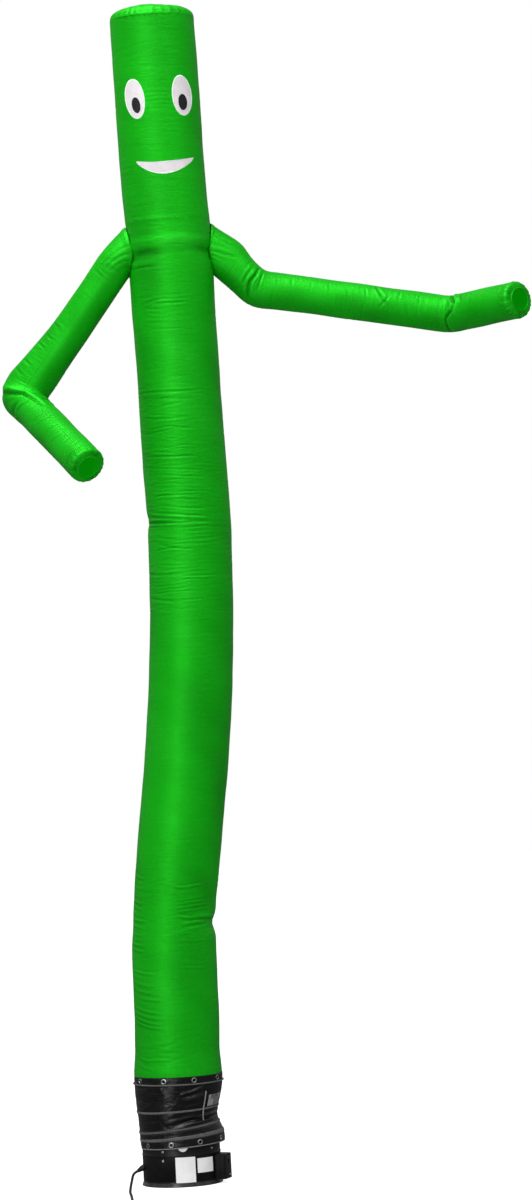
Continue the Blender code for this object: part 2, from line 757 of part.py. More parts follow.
plate("label_large", PAPER, on_barrel, [angle_at(-0.0290) + (angle_at(0.0760) - angle_at(-0.0290)) * k / 6 for k in range(7)],
      [0.0240, 0.1590], 0.0006, 0.0014)
plate("label_small", PAPER, on_barrel, [angle_at(0.0870) + (angle_at(0.1670) - angle_at(0.0870)) * k / 6 for k in range(7)],
      [0.0710, 0.1480], 0.0006, 0.0014)


def sticker():
    bm = bmesh.new()
    layers = []
    x0, z0, r = 0.0140, 0.2150, 0.0272
    for off in (0.0004, 0.0012):
        layers.append([
            bm.verts.new(on_barrel(-math.pi / 2 + (x0 + r * math.cos(2 * math.pi * k / 16)) / BARREL_R, z0 + r * math.sin(2 * math.pi * k / 16), off))
            for k in range(16)
        ])
        mid = bm.verts.new(on_barrel(-math.pi / 2 + x0 / BARREL_R, z0, off))
        for k in range(16):
            bm.faces.new([mid, layers[-1][k], layers[-1][(k + 1) % 16]])
    for k in range(16):
        m = (k + 1) % 16
        bm.faces.new([layers[0][k], layers[0][m], layers[1][m], layers[1][k]])
    return finish(bm, "round_sticker", PAPER)


sticker()

SCREW = [(0.0065, 0.0), (0.0065, 0.0016), (0.0040, 0.0034)]
SCREWS = [
    # name   degrees  z
    ("screw_1", 243.0, 0.188),
    ("screw_2", 243.0, 0.140),
    ("screw_3", -38.0, 0.193),
]
for name, deg, z in SCREWS:
    a = math.radians(deg)
    disc(name, STEEL, SCREW, 10, facing(on_barrel(a, z, 0.0006), (math.cos(a), math.sin(a), 0)))


def control_box():
    """A switch housing that fits the barrel's curve at its right front."""
    a0, a1 = math.radians(-33.0), math.radians(-5.5)
    plan = [on_barrel(a0 + (a1 - a0) * k / 6, 0, 0.0012) for k in range(7)]
    out = Vector((math.cos(math.radians(-21.0)), math.sin(math.radians(-21.0)), 0))
    side = Vector((-out.y, out.x, 0))
    mid = out * (BARREL_R + 0.058)
    plan += [mid + side * 0.050 - out * 0.010, mid + side * 0.042, mid - side * 0.042, mid - side * 0.050 - out * 0.010]
    bm = bmesh.new()
    low = [bm.verts.new((p.x, p.y, 0.0240)) for p in plan]
    high = [bm.verts.new((p.x, p.y, 0.1570)) for p in plan]
    bm.faces.new(low)
    bm.faces.new(high)
    for k in range(len(plan)):
        m = (k + 1) % len(plan)
        bm.faces.new([low[k], low[m], high[m], high[k]])
    finish(bm, "control_box", SHELL)
    disc("screw_4", STEEL, SCREW, 10, facing(mid + side * 0.014 + out * GAP + Vector((0, 0, 0.043)), out))


control_box()

# ------------------------------------------------------------------ cord
# the gland is a tapered boot on the barrel's left side; the cord hangs from it to the floor
GLAND_DEG = 192.0
GLAND_Z = 0.098
ga = math.radians(GLAND_DEG)
gland_at = on_barrel(ga, GLAND_Z, 0.0012)
gland_out = Vector((math.cos(ga), math.sin(ga), -0.55)).normalized()
boot = [
    # along    radius
    (0.000, 0.0175),
    (0.010, 0.0160),
    (0.022, 0.0120),
    (0.036, 0.0100),
]
base_ring = [
    on_barrel(ga + 0.0175 * math.cos(2 * math.pi * k / 12) / BARREL_R, GLAND_Z + 0.0175 * math.sin(2 * math.pi * k / 12), 0.0012)
    for k in range(12)
]
frame = facing(gland_at, gland_out)
rings = [base_ring] + [
    [frame @ Vector((r * math.cos(2 * math.pi * k / 12), r * math.sin(2 * math.pi * k / 12), s)) for k in range(12)]
    for s, r in boot[1:]
]
ring_stack("cord_gland", RUBBER, rings)

CORD_EXIT = gland_at + gland_out * 0.0363
ROUTE = [
    # x        y       z
    tuple(CORD_EXIT),
    tuple(CORD_EXIT + gland_out * 0.030),
    (-0.2790, -0.135, 0.026),
    (-0.2860, -0.235, 0.0078),
    (-0.2780, -0.360, 0.0075),
    (-0.2580, -0.520, 0.0075),
    (-0.2470, -0.700, 0.0075),
    (-0.2420, -0.850, 0.0075),
    (COIL_AT[0] - COIL_R, COIL_AT[1] + COIL_CLEAR, 0.0075),
]


def through(points, n):
    """n points along a smooth curve through the route's own points, evenly spaced."""
    pts = [Vector(p) for p in points]
    ends = [pts[0] * 2 - pts[1]] + pts + [pts[-1] * 2 - pts[-2]]
    fine = []
    for i in range(1, len(ends) - 2):
        p0, p1, p2, p3 = ends[i - 1 : i + 3]
        t0 = 0.0
        t1 = t0 + (p1 - p0).length ** 0.5
        t2 = t1 + (p2 - p1).length ** 0.5
        t3 = t2 + (p3 - p2).length ** 0.5
        for s in range(24):
            t = t1 + (t2 - t1) * s / 24
            a1 = p0 * ((t1 - t) / (t1 - t0)) + p1 * ((t - t0) / (t1 - t0))
            a2 = p1 * ((t2 - t) / (t2 - t1)) + p2 * ((t - t1) / (t2 - t1))
            a3 = p2 * ((t3 - t) / (t3 - t2)) + p3 * ((t - t2) / (t3 - t2))
            b1 = a1 * ((t2 - t) / (t2 - t0)) + a2 * ((t - t0) / (t2 - t0))
            b2 = a2 * ((t3 - t) / (t3 - t1)) + a3 * ((t - t1) / (t3 - t1))
            fine.append(b1 * ((t2 - t) / (t2 - t1)) + b2 * ((t - t1) / (t2 - t1)))
    fine.append(pts[-1])
    xyz = np.array([tuple(p) for p in fine])
    along = np.concatenate([[0], np.cumsum(np.linalg.norm(np.diff(xyz, axis=0), axis=1))])
    at = np.linspace(0, along[-1], n)
    return [Vector([float(np.interp(a, along, xyz[:, k])) for k in range(3)]) for a in at]


line = through(ROUTE, CORD_BEND_POINTS)
curve = bpy.data.curves.new("power_cord", "CURVE")
curve.dimensions = "3D"
curve.bevel_depth = CORD_D / 2
curve.bevel_resolution = 2
curve.use_fill_caps = True
spline = curve.splines.new("POLY")
spline.points.add(len(line) - 1)
for point, p in zip(spline.points, line, strict=True):
    point.co = (*p, 1.0)
cord = bpy.data.objects.new("power_cord", curve)
bpy.context.scene.collection.objects.link(cord)
curve.materials.append(material(*RUBBER))

# the rest of the cord lies in a round coil of one and a quarter turns with a tie
COIL_HALF_W, COIL_LOW, COIL_H = 0.0150, 0.0016, 0.0300
coil_place = Matrix.Translation((COIL_AT[0], COIL_AT[1], 0.0))
turned(
    "cord_coil", RUBBER,
    [
        (COIL_R - COIL_HALF_W, 0.008), (COIL_R - COIL_HALF_W + 0.006, COIL_LOW), (COIL_R + COIL_HALF_W - 0.006, COIL_LOW),
        (COIL_R + COIL_HALF_W, 0.008), (COIL_R + COIL_HALF_W, COIL_H - 0.006), (COIL_R + COIL_HALF_W - 0.006, COIL_H),
        (COIL_R - COIL_HALF_W + 0.006, COIL_H), (COIL_R - COIL_HALF_W, COIL_H - 0.006),
    ], 24, coil_place,
)


def tie():
    """A flat strap round the coil's turns, over the middle of one of its facets."""
    a = math.radians(7.5)
    flat = math.cos(math.radians(7.5))
    near, far = (COIL_R - COIL_HALF_W) * flat - 0.0004, (COIL_R + COIL_HALF_W) * flat + 0.0004
    inside = [(near, COIL_LOW - 0.0004), (far, COIL_LOW - 0.0004), (far, COIL_H + 0.0004), (near, COIL_H + 0.0004)]
    wall = COIL_LOW - 0.0004
    outside = [(near - wall, 0.0), (far + wall, 0.0), (far + wall, COIL_H + 0.0004 + wall), (near - wall, COIL_H + 0.0004 + wall)]
    out, side = Vector((math.cos(a), math.sin(a), 0)), Vector((-math.sin(a), math.cos(a), 0))
    bm = bmesh.new()
    made = []
    for loop, shift in ((outside, -0.005), (outside, 0.005), (inside, 0.005), (inside, -0.005)):
        made.append([bm.verts.new(Vector((*COIL_AT, 0)) + out * r + side * shift + Vector((0, 0, z))) for r, z in loop])
    for a, b in zip(made, made[1:] + made[:1]):
        for q in range(4):
            bm.faces.new([a[q], a[(q + 1) % 4], b[(q + 1) % 4], b[q]])
    return finish(bm, "cord_tie", WEB)


tie()

# what is left of the cord's length runs straight on to its plug
run = sum((b - a).length for a, b in zip(line, line[1:])) + COIL_CLEAR
tail = CORD_LENGTH - run - 2 * math.pi * COIL_R * COIL_TURNS
PLUG_X = COIL_AT[0] + tail
TAIL = [
    (COIL_AT[0] + COIL_CLEAR, COIL_AT[1] - COIL_R, 0.0195),
    (COIL_AT[0] + (COIL_CLEAR + tail) * 0.5, COIL_AT[1] - COIL_R, 0.0140),
    (PLUG_X - GAP, COIL_AT[1] - COIL_R, 0.0125),
]
curve = bpy.data.curves.new("cord_tail", "CURVE")
curve.dimensions = "3D"
curve.bevel_depth = CORD_D / 2
curve.bevel_resolution = 2
curve.use_fill_caps = True
line = through(TAIL, 5)
spline = curve.splines.new("POLY")
spline.points.add(len(line) - 1)
for point, p in zip(spline.points, line, strict=True):
    point.co = (*p, 1.0)
bpy.context.scene.collection.objects.link(bpy.data.objects.new("cord_tail", curve))
curve.materials.append(material(*RUBBER))


def plug():
    """A moulded plug lying on the floor, its two blades and its round pin pointing away from the cord."""
    sections = [
        # along   half wide  half high
        (0.000, 0.0080, 0.0080),
        (0.022, 0.0100, 0.0095),
        (0.026, 0.0135, 0.0120),
        (0.048, 0.0150, 0.0122),
        (0.052, 0.0140, 0.0115),
    ]
    rings = []
    for s, w, h in sections:
        ring = []
        for k in range(12):
            a = 2 * math.pi * (k + 0.5) / 12
            c, n = math.cos(a), math.sin(a)
            ring.append(Vector((PLUG_X + s, COIL_AT[1] - COIL_R + w * math.copysign(abs(c) ** 0.7, c), 0.0125 + h * math.copysign(abs(n) ** 0.7, n))))
        rings.append(ring)
    body = ring_stack("plug", RUBBER, rings)
    for k, (dy, dz, w, h) in enumerate(((-0.0064, 0.003, 0.0015, 0.0064), (0.0064, 0.003, 0.0015, 0.0064), (0.0, -0.0065, 0.0046, 0.0046))):
        bm = bmesh.new()
        bmesh.ops.create_cube(bm, size=1.0)
        for v in bm.verts:
            v.co = Vector((PLUG_X + 0.059 + v.co.x * 0.020, COIL_AT[1] - COIL_R + dy + v.co.y * w, 0.0125 + dz + v.co.z * h))
        pin = finish(bm, f"plug_pin_cutter_{k + 1}", STEEL)
        pin.hide_render = True
        pin.display_type = "WIRE"
        join = body.modifiers.new(f"pin_{k + 1}", "BOOLEAN")
        join.operation = "UNION"
        join.solver = "EXACT"
        join.object = pin


plug()
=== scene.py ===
import math

import bmesh
import bpy
import numpy as np
from mathutils import Matrix, Vector


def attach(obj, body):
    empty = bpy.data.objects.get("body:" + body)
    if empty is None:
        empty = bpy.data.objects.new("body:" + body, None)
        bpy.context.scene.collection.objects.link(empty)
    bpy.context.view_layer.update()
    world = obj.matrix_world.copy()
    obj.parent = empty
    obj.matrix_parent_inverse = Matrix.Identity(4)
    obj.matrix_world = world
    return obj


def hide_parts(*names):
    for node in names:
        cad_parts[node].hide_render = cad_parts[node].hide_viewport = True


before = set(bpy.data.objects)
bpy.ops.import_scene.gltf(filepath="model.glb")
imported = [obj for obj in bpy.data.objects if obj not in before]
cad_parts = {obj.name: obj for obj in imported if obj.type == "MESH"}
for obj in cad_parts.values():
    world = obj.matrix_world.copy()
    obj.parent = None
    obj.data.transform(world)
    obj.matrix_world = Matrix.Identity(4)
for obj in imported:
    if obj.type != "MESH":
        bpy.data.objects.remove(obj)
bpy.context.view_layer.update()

scene = bpy.context.scene
TAU = 2 * math.pi

# ------------------------------------------------------------------ camera
cam_data = bpy.data.cameras.new("camera")
cam_data.sensor_fit = "VERTICAL"
cam_data.sensor_height = 36.0
cam_data.lens = 120.0
cam_data.clip_end = 400.0
camera = bpy.data.objects.new("camera", cam_data)
scene.collection.objects.link(camera)
camera.matrix_world = (
    Matrix.Translation((0.602, -21.5, 2.58))
    @ Matrix.Rotation(math.radians(90) + math.atan2(0.517, 21.5), 4, "X")
    @ Matrix.Rotation(math.radians(-2.9), 4, "Z")
)
scene.camera = camera
scene.view_settings.view_transform = "Standard"
scene.view_settings.look = "None"


# ------------------------------------------------------------------ node helpers
class Look:
    """A material whose colour, roughness and bump are made from nodes."""

    def __init__(self, name):
        self.m = bpy.data.materials.new(name)
        self.m.use_nodes = True
        self.t = self.m.node_tree
        self.s = self.t.nodes["Principled BSDF"]
        self.cache = {}

    def set(self, **values):
        for key, value in values.items():
            self.s.inputs[key.replace("_", " ")].default_value = value

    def put(self, socket, value):
        if isinstance(value, bpy.types.NodeSocket):
            self.t.links.new(value, socket)
        elif value is not None:
            socket.default_value = value

    def math(self, op, a, b=None, c=None, clamp=False):
        n = self.t.nodes.new("ShaderNodeMath")
        n.operation = op
        n.use_clamp = clamp
        for socket, value in zip(n.inputs, (a, b, c)):
            self.put(socket, value)
        return n.outputs[0]

    def place(self):
        """Object coordinates: metres in the row frame."""
        if "place" not in self.cache:
            self.cache["place"] = self.t.nodes.new("ShaderNodeTexCoord").outputs["Object"]
        return self.cache["place"]

    def cloth(self):
        """(around, along) in metres on the cloth."""
        if "cloth" not in self.cache:
            n = self.t.nodes.new("ShaderNodeUVMap")
            n.uv_map = "cloth"
            split = self.t.nodes.new("ShaderNodeSeparateXYZ")
            self.t.links.new(n.outputs[0], split.inputs[0])
            self.cache["cloth"] = (split.outputs[0], split.outputs[1], n.outputs[0])
        return self.cache["cloth"]

    def attribute(self, name):
        key = "attribute " + name
        if key not in self.cache:
            n = self.t.nodes.new("ShaderNodeAttribute")
            n.attribute_name = name
            self.cache[key] = n.outputs["Fac"]
        return self.cache[key]

    def stretch(self, vector, scale):
        n = self.t.nodes.new("ShaderNodeMapping")
        n.inputs["Scale"].default_value = scale
        self.t.links.new(vector, n.inputs[0])
        return n.outputs[0]

    def noise(self, vector, scale, detail=2.0, rough=0.5, distortion=0.0):
        n = self.t.nodes.new("ShaderNodeTexNoise")
        n.inputs["Scale"].default_value = scale
        n.inputs["Detail"].default_value = detail
        n.inputs["Roughness"].default_value = rough
        n.inputs["Distortion"].default_value = distortion
        self.t.links.new(vector, n.inputs["Vector"])
        return n.outputs["Fac"]

    def voronoi(self, vector, scale, feature="F1"):
        n = self.t.nodes.new("ShaderNodeTexVoronoi")
        n.feature = feature
        n.inputs["Scale"].default_value = scale
        self.t.links.new(vector, n.inputs["Vector"])
        return n.outputs["Distance"]

    def remap(self, value, a, b, c=0.0, d=1.0):
        n = self.t.nodes.new("ShaderNodeMapRange")
        n.clamp = True
        for socket, v in zip(n.inputs, (value, a, b, c, d)):
            self.put(socket, v)
        return n.outputs[0]

    def mix(self, fac, a, b, kind="MIX"):
        n = self.t.nodes.new("ShaderNodeMix")
        n.data_type = "RGBA"
        n.blend_type = kind
        self.put(n.inputs["Factor"], fac)
        for socket, v in ((n.inputs["A"], a), (n.inputs["B"], b)):
            pass
        colours = [i for i in n.inputs if i.type == "RGBA"]
        for socket, v in zip(colours, (a, b)):
            self.put(socket, (*v, 1.0) if isinstance(v, tuple) and len(v) == 3 else v)
        return [o for o in n.outputs if o.type == "RGBA"][0]

    def bump(self, height, strength, distance, under=None):
        n = self.t.nodes.new("ShaderNodeBump")
        n.inputs["Strength"].default_value = strength
        n.inputs["Distance"].default_value = distance
        self.t.links.new(height, n.inputs["Height"])
        if under is not None:
            self.t.links.new(under, n.inputs["Normal"])
        return n.outputs[0]

    def dash(self, across, at, along, pitch, half_wide=0.0007, share=0.62):
        """One row of stitches: 1 on the thread, 0 off it."""
        near = self.math("ABSOLUTE", self.math("SUBTRACT", across, at))
        line = self.remap(near, half_wide, half_wide * 1.6, 1.0, 0.0)
        part = self.math("FRACT", self.math("DIVIDE", along, pitch))
        on = self.remap(self.math("ABSOLUTE", self.math("SUBTRACT", part, 0.5)), share / 2, share / 2 + 0.06, 1.0, 0.0)
        return self.math("MULTIPLY", line, on)

    def done(self, colour=None, rough=None, normal=None):
        self.put(self.s.inputs["Base Color"], colour)
        self.put(self.s.inputs["Roughness"], rough)
        if normal is not None:
            self.t.links.new(normal, self.s.inputs["Normal"])
        return self.m


# ------------------------------------------------------------------ shape helpers
def smooth(rows, column, at):
    """A cubic through a table's rows, flat past its ends."""
    z, v = rows[:, 0], rows[:, column]
    h = np.diff(z)
    d = np.diff(v) / h
    m = np.zeros(len(z))
    for k in range(1, len(z) - 1):
        a, b = d[k - 1], d[k]
        m[k] = 0.0 if a * b <= 0 else 2 * a * b / (a + b)
    at = np.clip(at, z[0], z[-1])
    i = np.clip(np.searchsorted(z, at, side="right") - 1, 0, len(z) - 2)
    t = (at - z[i]) / h[i]
    m0, m1 = m[i] * h[i], m[i + 1] * h[i]
    return (2 * t**3 - 3 * t**2 + 1) * v[i] + (t**3 - 2 * t**2 + t) * m0 + (3 * t**2 - 2 * t**3) * v[i + 1] + (t**3 - t**2) * m1


def turn(a):
    return (a + np.pi) % TAU - np.pi


def step(x, a, b):
    t = np.clip((x - a) / (b - a), 0, 1)
    return t * t * (3 - 2 * t)


def rows_between(low, high, spacing):
    """Heights from low to high whose distance apart is spacing(z)."""
    out = [low]
    while out[-1] < high:
        out.append(out[-1] + spacing(out[-1]))
    out = np.array(out)
    return low + (out - low) * (high - low) / (out[-1] - low)


def crease(around, along, line, depth, width, lip=0.45, lift=0.0):
    """A pinch along a line of (around, along) places, both in metres. It dies out at both ends.
    lift raises the side with the higher along over the other one, as where a fold laps over."""
    line = np.asarray(line, float)
    best = np.full(around.shape, 1e9)
    share = np.zeros(around.shape)
    side = np.zeros(around.shape)
    lengths = np.linalg.norm(np.diff(line, axis=0), axis=1)
    total = lengths.sum()
    done = 0.0
    for (x0, y0), (x1, y1), n in zip(line, line[1:], lengths):
        dx, dy = (x1 - x0) / n, (y1 - y0) / n
        px, py = around - x0, along - y0
        t = np.clip(px * dx + py * dy, 0, n)
        qx, qy = px - t * dx, py - t * dy
        d = np.hypot(qx, qy)
        new = d < best
        best = np.where(new, d, best)
        share = np.where(new, (done + t) / total, share)
        side = np.where(new, np.sign(px * dy - py * dx), side)
        done += n
    fade = np.sin(np.pi * np.clip(share, 0.0, 1.0)) ** 0.6
    q = best / width
    shape = np.exp(-(q**2)) - lip * np.exp(-(((q - 1.9) / 0.9) ** 2))
    out = -depth * fade * shape
    if lift:
        out = out - side * lift * fade * np.exp(-((q / 3.0) ** 2))
    return out


def fine_folds(around, along, period, seed, count, low, high, length, depth, width, lean=0.15, where=None):
    """Many short shallow creases at fixed, uneven places."""
    rng = np.random.default_rng(seed)
    out = np.zeros(around.shape)
    for _ in range(count):
        a0, z0 = rng.uniform(0, period), rng.uniform(low, high)
        n = rng.uniform(*length)
        d = rng.uniform(*depth) * rng.choice([1.0, 1.0, -0.7])
        w = rng.uniform(*width)
        s = rng.normal(0, lean)
        bow = rng.normal(0, 0.25)
        if where is not None:
            d = d * where(a0, z0)
        if abs(d) < 1e-5:
            continue
        da = (around - a0 + period / 2) % period - period / 2
        near = (np.abs(along - z0) < 5 * w + 0.35 * n) & (np.abs(da) < n)
        if not near.any():
            continue
        x, y = da[near], along[near] - z0
        q = (y - s * x - bow * x * x / max(n, 0.02)) / w
        out[near] -= d * np.exp(-((x / (0.45 * n)) ** 2)) * (np.exp(-(q**2)) - 0.4 * np.exp(-(((np.abs(q) - 1.8) / 0.9) ** 2)))
    return out


def numbers(mesh, faces):
    faces = np.asarray(faces, np.int32)
    n, k = faces.shape
    mesh.loops.add(n * k)
    mesh.loops.foreach_set("vertex_index", faces.ravel())
    mesh.polygons.add(n)
    mesh.polygons.foreach_set("loop_start", np.arange(0, n * k, k, dtype=np.int32))


def link(mesh, name, look=None, slot=None, replaces=(), sharp=None):
    mesh.shade_smooth()
    if sharp:
        mesh.set_sharp_from_angle(angle=math.radians(sharp))
    o = bpy.data.objects.new(name, mesh)
    scene.collection.objects.link(o)
    if look:
        mesh.materials.append(look)
    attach(o, "root")
    if replaces:
        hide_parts(*replaces)
    return o


def grid(name, points, around, along, wrap=True, fold=None, keep=None, **how):
    """A sheet from a grid of points. around and along are the cloth's own metres; keep drops faces."""
    rows, cols = points.shape[:2]
    index = np.arange(rows * cols).reshape(rows, cols)
    if wrap:
        right = np.roll(index, -1, axis=1)
        quads = np.stack([index[:-1], right[:-1], right[1:], index[1:]], -1)
    else:
        quads = np.stack([index[:-1, :-1], index[:-1, 1:], index[1:, 1:], index[1:, :-1]], -1)
    n = quads.shape[1]
    along = np.broadcast_to(np.asarray(along, float).reshape(rows, -1), (rows, n + 1))
    around = np.broadcast_to(np.asarray(around, float), (rows, n + 1))
    uv = np.stack([
        np.stack([around[:-1, :-1], along[:-1, :-1]], -1), np.stack([around[:-1, 1:], along[:-1, 1:]], -1),
        np.stack([around[1:, 1:], along[1:, 1:]], -1), np.stack([around[1:, :-1], along[1:, :-1]], -1),
    ], 2)
    quads, uv = quads.reshape(-1, 4), uv.reshape(-1, 4, 2)
    if keep is not None:
        quads, uv = quads[keep.ravel()], uv[keep.ravel()]
    used = np.unique(quads)
    new = np.full(rows * cols, -1)
    new[used] = np.arange(len(used))
    mesh = bpy.data.meshes.new(name)
    mesh.vertices.add(len(used))
    mesh.vertices.foreach_set("co", points.reshape(-1, 3)[used].astype(np.float32).ravel())
    numbers(mesh, new[quads])
    mesh.update(calc_edges=True)
    layer = mesh.uv_layers.new(name="cloth")
    layer.uv.foreach_set("vector", uv.astype(np.float32).ravel())
    if fold is not None:
        a = mesh.attributes.new("fold", "FLOAT", "POINT")
        a.data.foreach_set("value", np.clip(fold, -1, 1).reshape(-1)[used].astype(np.float32))
    mesh.validate()
    return link(mesh, name, **how)


def thicken(o, wall, outward=0.0):
    """Gives a sheet its thickness: both faces and its rims."""
    m = o.modifiers.new("wall", "SOLIDIFY")
    m.thickness = wall
    m.offset = outward
    m.use_rim = True
    apply(o)
    return o


def apply(o):
    bpy.context.view_layer.update()
    deps = bpy.context.evaluated_depsgraph_get()
    mesh = bpy.data.meshes.new_from_object(o.evaluated_get(deps), preserve_all_data_layers=True, depsgraph=deps)
    o.modifiers.clear()
    o.data = mesh


def facing(at, outward, up=(0, 0, 1)):
    w = Vector(outward).normalized()
    u = Vector(up).cross(w)
    if u.length < 1e-6:
        u = Vector((1, 0, 0))
    u.normalize()
    v = w.cross(u)
    return Matrix.Translation(at) @ Matrix((u, v, w)).transposed().to_4x4()


def lathe(name, profile, sides, place=None, closed=True, **how):
    """A profile of (radius, height) turned about +Z. A closed profile comes back to its start."""
    place = place or Matrix.Identity(4)
    mesh = bpy.data.meshes.new(name)
    a = np.arange(sides) * TAU / sides
    p = np.array(profile, float)
    r = np.broadcast_to(p[:, :1], (len(p), sides))
    xyz = np.stack([r * np.cos(a), r * np.sin(a), np.broadcast_to(p[:, 1:], (len(p), sides))], -1).reshape(-1, 3)
    m = np.array(place)
    xyz = xyz @ m[:3, :3].T + m[:3, 3]
    n = len(p)
    index = np.arange(n * sides).reshape(n, sides)
    nxt = np.roll(index, -1, axis=1)
    upper, upper_nxt = (np.roll(index, -1, axis=0), np.roll(nxt, -1, axis=0)) if closed else (index[1:], nxt[1:])
    low, low_nxt = (index, nxt) if closed else (index[:-1], nxt[:-1])
    faces = np.stack([low, low_nxt, upper_nxt, upper], -1).reshape(-1, 4)
    mesh.vertices.add(n * sides)
    mesh.vertices.foreach_set("co", xyz.astype(np.float32).ravel())
    numbers(mesh, faces)
    mesh.update(calc_edges=True)
    bm = bmesh.new()
    bm.from_mesh(mesh)
    if not closed:
        bmesh.ops.holes_fill(bm, edges=[e for e in bm.edges if e.is_boundary], sides=0)
    bmesh.ops.remove_doubles(bm, verts=bm.verts, dist=1e-7)
    bmesh.ops.recalc_face_normals(bm, faces=bm.faces)
    if bm.calc_volume(signed=True) < 0:
        bmesh.ops.reverse_faces(bm, faces=bm.faces)
    bm.to_mesh(mesh)
    bm.free()
    return link(mesh, name, **how)


def solid(name, bm, **how):
    bmesh.ops.recalc_face_normals(bm, faces=bm.faces)
    if bm.calc_volume(signed=True) < 0:
        bmesh.ops.reverse_faces(bm, faces=bm.faces)
    mesh = bpy.data.meshes.new(name)
    bm.to_mesh(mesh)
    bm.free()
    return link(mesh, name, **how)


# ------------------------------------------------------------------ materials
def nylon(name, stitches=(), upright=(), length=None, crinkle=1.0):
    """Thin ripstop nylon: woven squares, soft shine, painted shade darkening the creases and a painted highlight paling
    their ridges.
    stitches are the rows sewn around at these heights, upright the rows sewn along at these places."""
    k = Look(name)
    k.set(IOR=1.46, Metallic=0.44, Specular_IOR_Level=0.22)
    u, v, uv = k.cloth()
    obj = k.place()
    broad = k.noise(obj, 1.7, 3.0, 0.55)
    blotch = k.noise(obj, 9.0, 3.0, 0.6)
    colour = k.mix(k.remap(broad, 0.32, 0.68), (0.0026, 0.415, 0.0030), (0.0034, 0.475, 0.0040))
    colour = k.mix(k.remap(blotch, 0.35, 0.7, 0.0, 0.22), colour, (0.0020, 0.35, 0.0024))
    # the ripstop grid, 5 mm squares of doubled thread, and the plain weave between
    line_u = k.remap(k.math("ABSOLUTE", k.math("SUBTRACT", k.math("FRACT", k.math("DIVIDE", u, 0.005)), 0.5)), 0.42, 0.46)
    line_v = k.remap(k.math("ABSOLUTE", k.math("SUBTRACT", k.math("FRACT", k.math("DIVIDE", v, 0.005)), 0.5)), 0.42, 0.46)
    lines = k.math("MAXIMUM", line_u, line_v)
    colour = k.mix(k.math("MULTIPLY", lines, 0.22), colour, (0.016, 0.56, 0.018))
    fold = k.attribute("fold")
    # painted shade: the crease troughs (fold below 0) are darkened; painted highlight: the ridges (fold above 0) are
    # made paler
    colour = k.mix(k.remap(fold, 0.0, -1.0, 0.0, 0.62), colour, (0.0008, 0.19, 0.0010))
    colour = k.mix(k.remap(fold, 0.05, 0.9, 0.0, 0.30), colour, (0.022, 0.62, 0.025))
    streak = k.noise(k.stretch(uv, (7.0, 75.0, 1.0)), 1.0, 3.0, 0.55, 0.4)
    colour = k.mix(k.remap(streak, 0.56, 0.75, 0.0, 0.10), colour, (0.006, 0.33, 0.007))
    thread = None
    for at, pitch in stitches:
        row = k.dash(v, at, u, pitch)
        thread = row if thread is None else k.math("MAXIMUM", thread, row)
    for at, pitch in upright:
        row = k.dash(u, at, v, pitch)
        thread = row if thread is None else k.math("MAXIMUM", thread, row)
    if thread is not None:
        colour = k.mix(k.math("MULTIPLY", thread, 0.5), colour, (0.006, 0.27, 0.008))
    rough = k.remap(k.noise(obj, 30.0, 2.0), 0.3, 0.7, 0.47, 0.56)
    weave = k.math("ADD", k.math("MULTIPLY", lines, 1.0), k.noise(k.stretch(uv, (900.0, 900.0, 1.0)), 1.0, 1.0))
    normal = k.bump(weave, 0.12, 0.0004)
    creep = k.noise(k.stretch(uv, (9.0, 55.0, 1.0)), 1.0, 4.0, 0.62, 0.6)
    normal = k.bump(creep, 0.32 * crinkle, 0.0065, normal)
    grain = k.noise(k.stretch(uv, (40.0, 150.0, 1.0)), 1.0, 2.0, 0.5)
    normal = k.bump(grain, 0.16 * crinkle, 0.0016, normal)
    if thread is not None:
        normal = k.bump(thread, 0.7, 0.0008, normal)
    return k.done(colour, rough, normal)


def inside_cloth():
    """The nylon seen from within: a painted glow (emission) stands in for the light coming through from the other side,
    over a base darkened as painted shade.
    """
    k = Look("look_inside")
    # painted glow: this emission stands in for light coming through the cloth
    k.set(IOR=1.45, Specular_IOR_Level=0.05, Emission_Strength=0.80, Emission_Color=(0.0012, 0.235, 0.0014, 1.0))
    u, v, uv = k.cloth()
    cloud = k.noise(k.place(), 24.0, 3.0, 0.6)
    # painted shade: a darker green than the outside of the same cloth
    colour = k.mix(k.remap(cloud, 0.3, 0.7), (0.002, 0.10, 0.003), (0.003, 0.13, 0.004))
    weave = k.noise(k.stretch(uv, (600.0, 600.0, 1.0)), 1.0, 1.0)
    return k.done(colour, 0.7, k.bump(weave, 0.15, 0.0004))


def applique(name, ground, pale, border):
    """A sewn-on patch: flat weave, with a dense border stitch."""
    k = Look(name)
    k.set(IOR=1.45, Specular_IOR_Level=0.25)
    obj = k.place()
    edge = k.attribute("edge")  # metres in from the patch's rim
    along = k.attribute("along")
    cloud = k.noise(obj, 22.0, 3.0, 0.6)
    colour = k.mix(k.remap(cloud, 0.35, 0.7), ground, pale)
    threads = k.noise(k.stretch(obj, (700.0, 700.0, 700.0)), 1.0, 1.0)
    colour = k.mix(k.remap(threads, 0.4, 0.7, 0.0, 0.12), colour, tuple(c * 0.8 for c in ground))
    zig = k.math("ABSOLUTE", k.math("SUBTRACT", k.math("FRACT", k.math("DIVIDE", along, 0.0022)), 0.5))
    on_edge = k.remap(edge, 0.0050, 0.0062, 1.0, 0.0)
    stitch = k.math("MULTIPLY", k.remap(zig, 0.10, 0.40), on_edge)
    colour = k.mix(on_edge, colour, border)
    colour = k.mix(k.math("MULTIPLY", k.remap(zig, 0.0, 0.14, 1.0, 0.0), on_edge), colour, tuple(c * 0.72 for c in border))
    normal = k.bump(threads, 0.2, 0.0003)
    normal = k.bump(stitch, 0.6, 0.0010, normal)
    return k.done(colour, k.remap(cloud, 0.3, 0.7, 0.50, 0.62), normal)


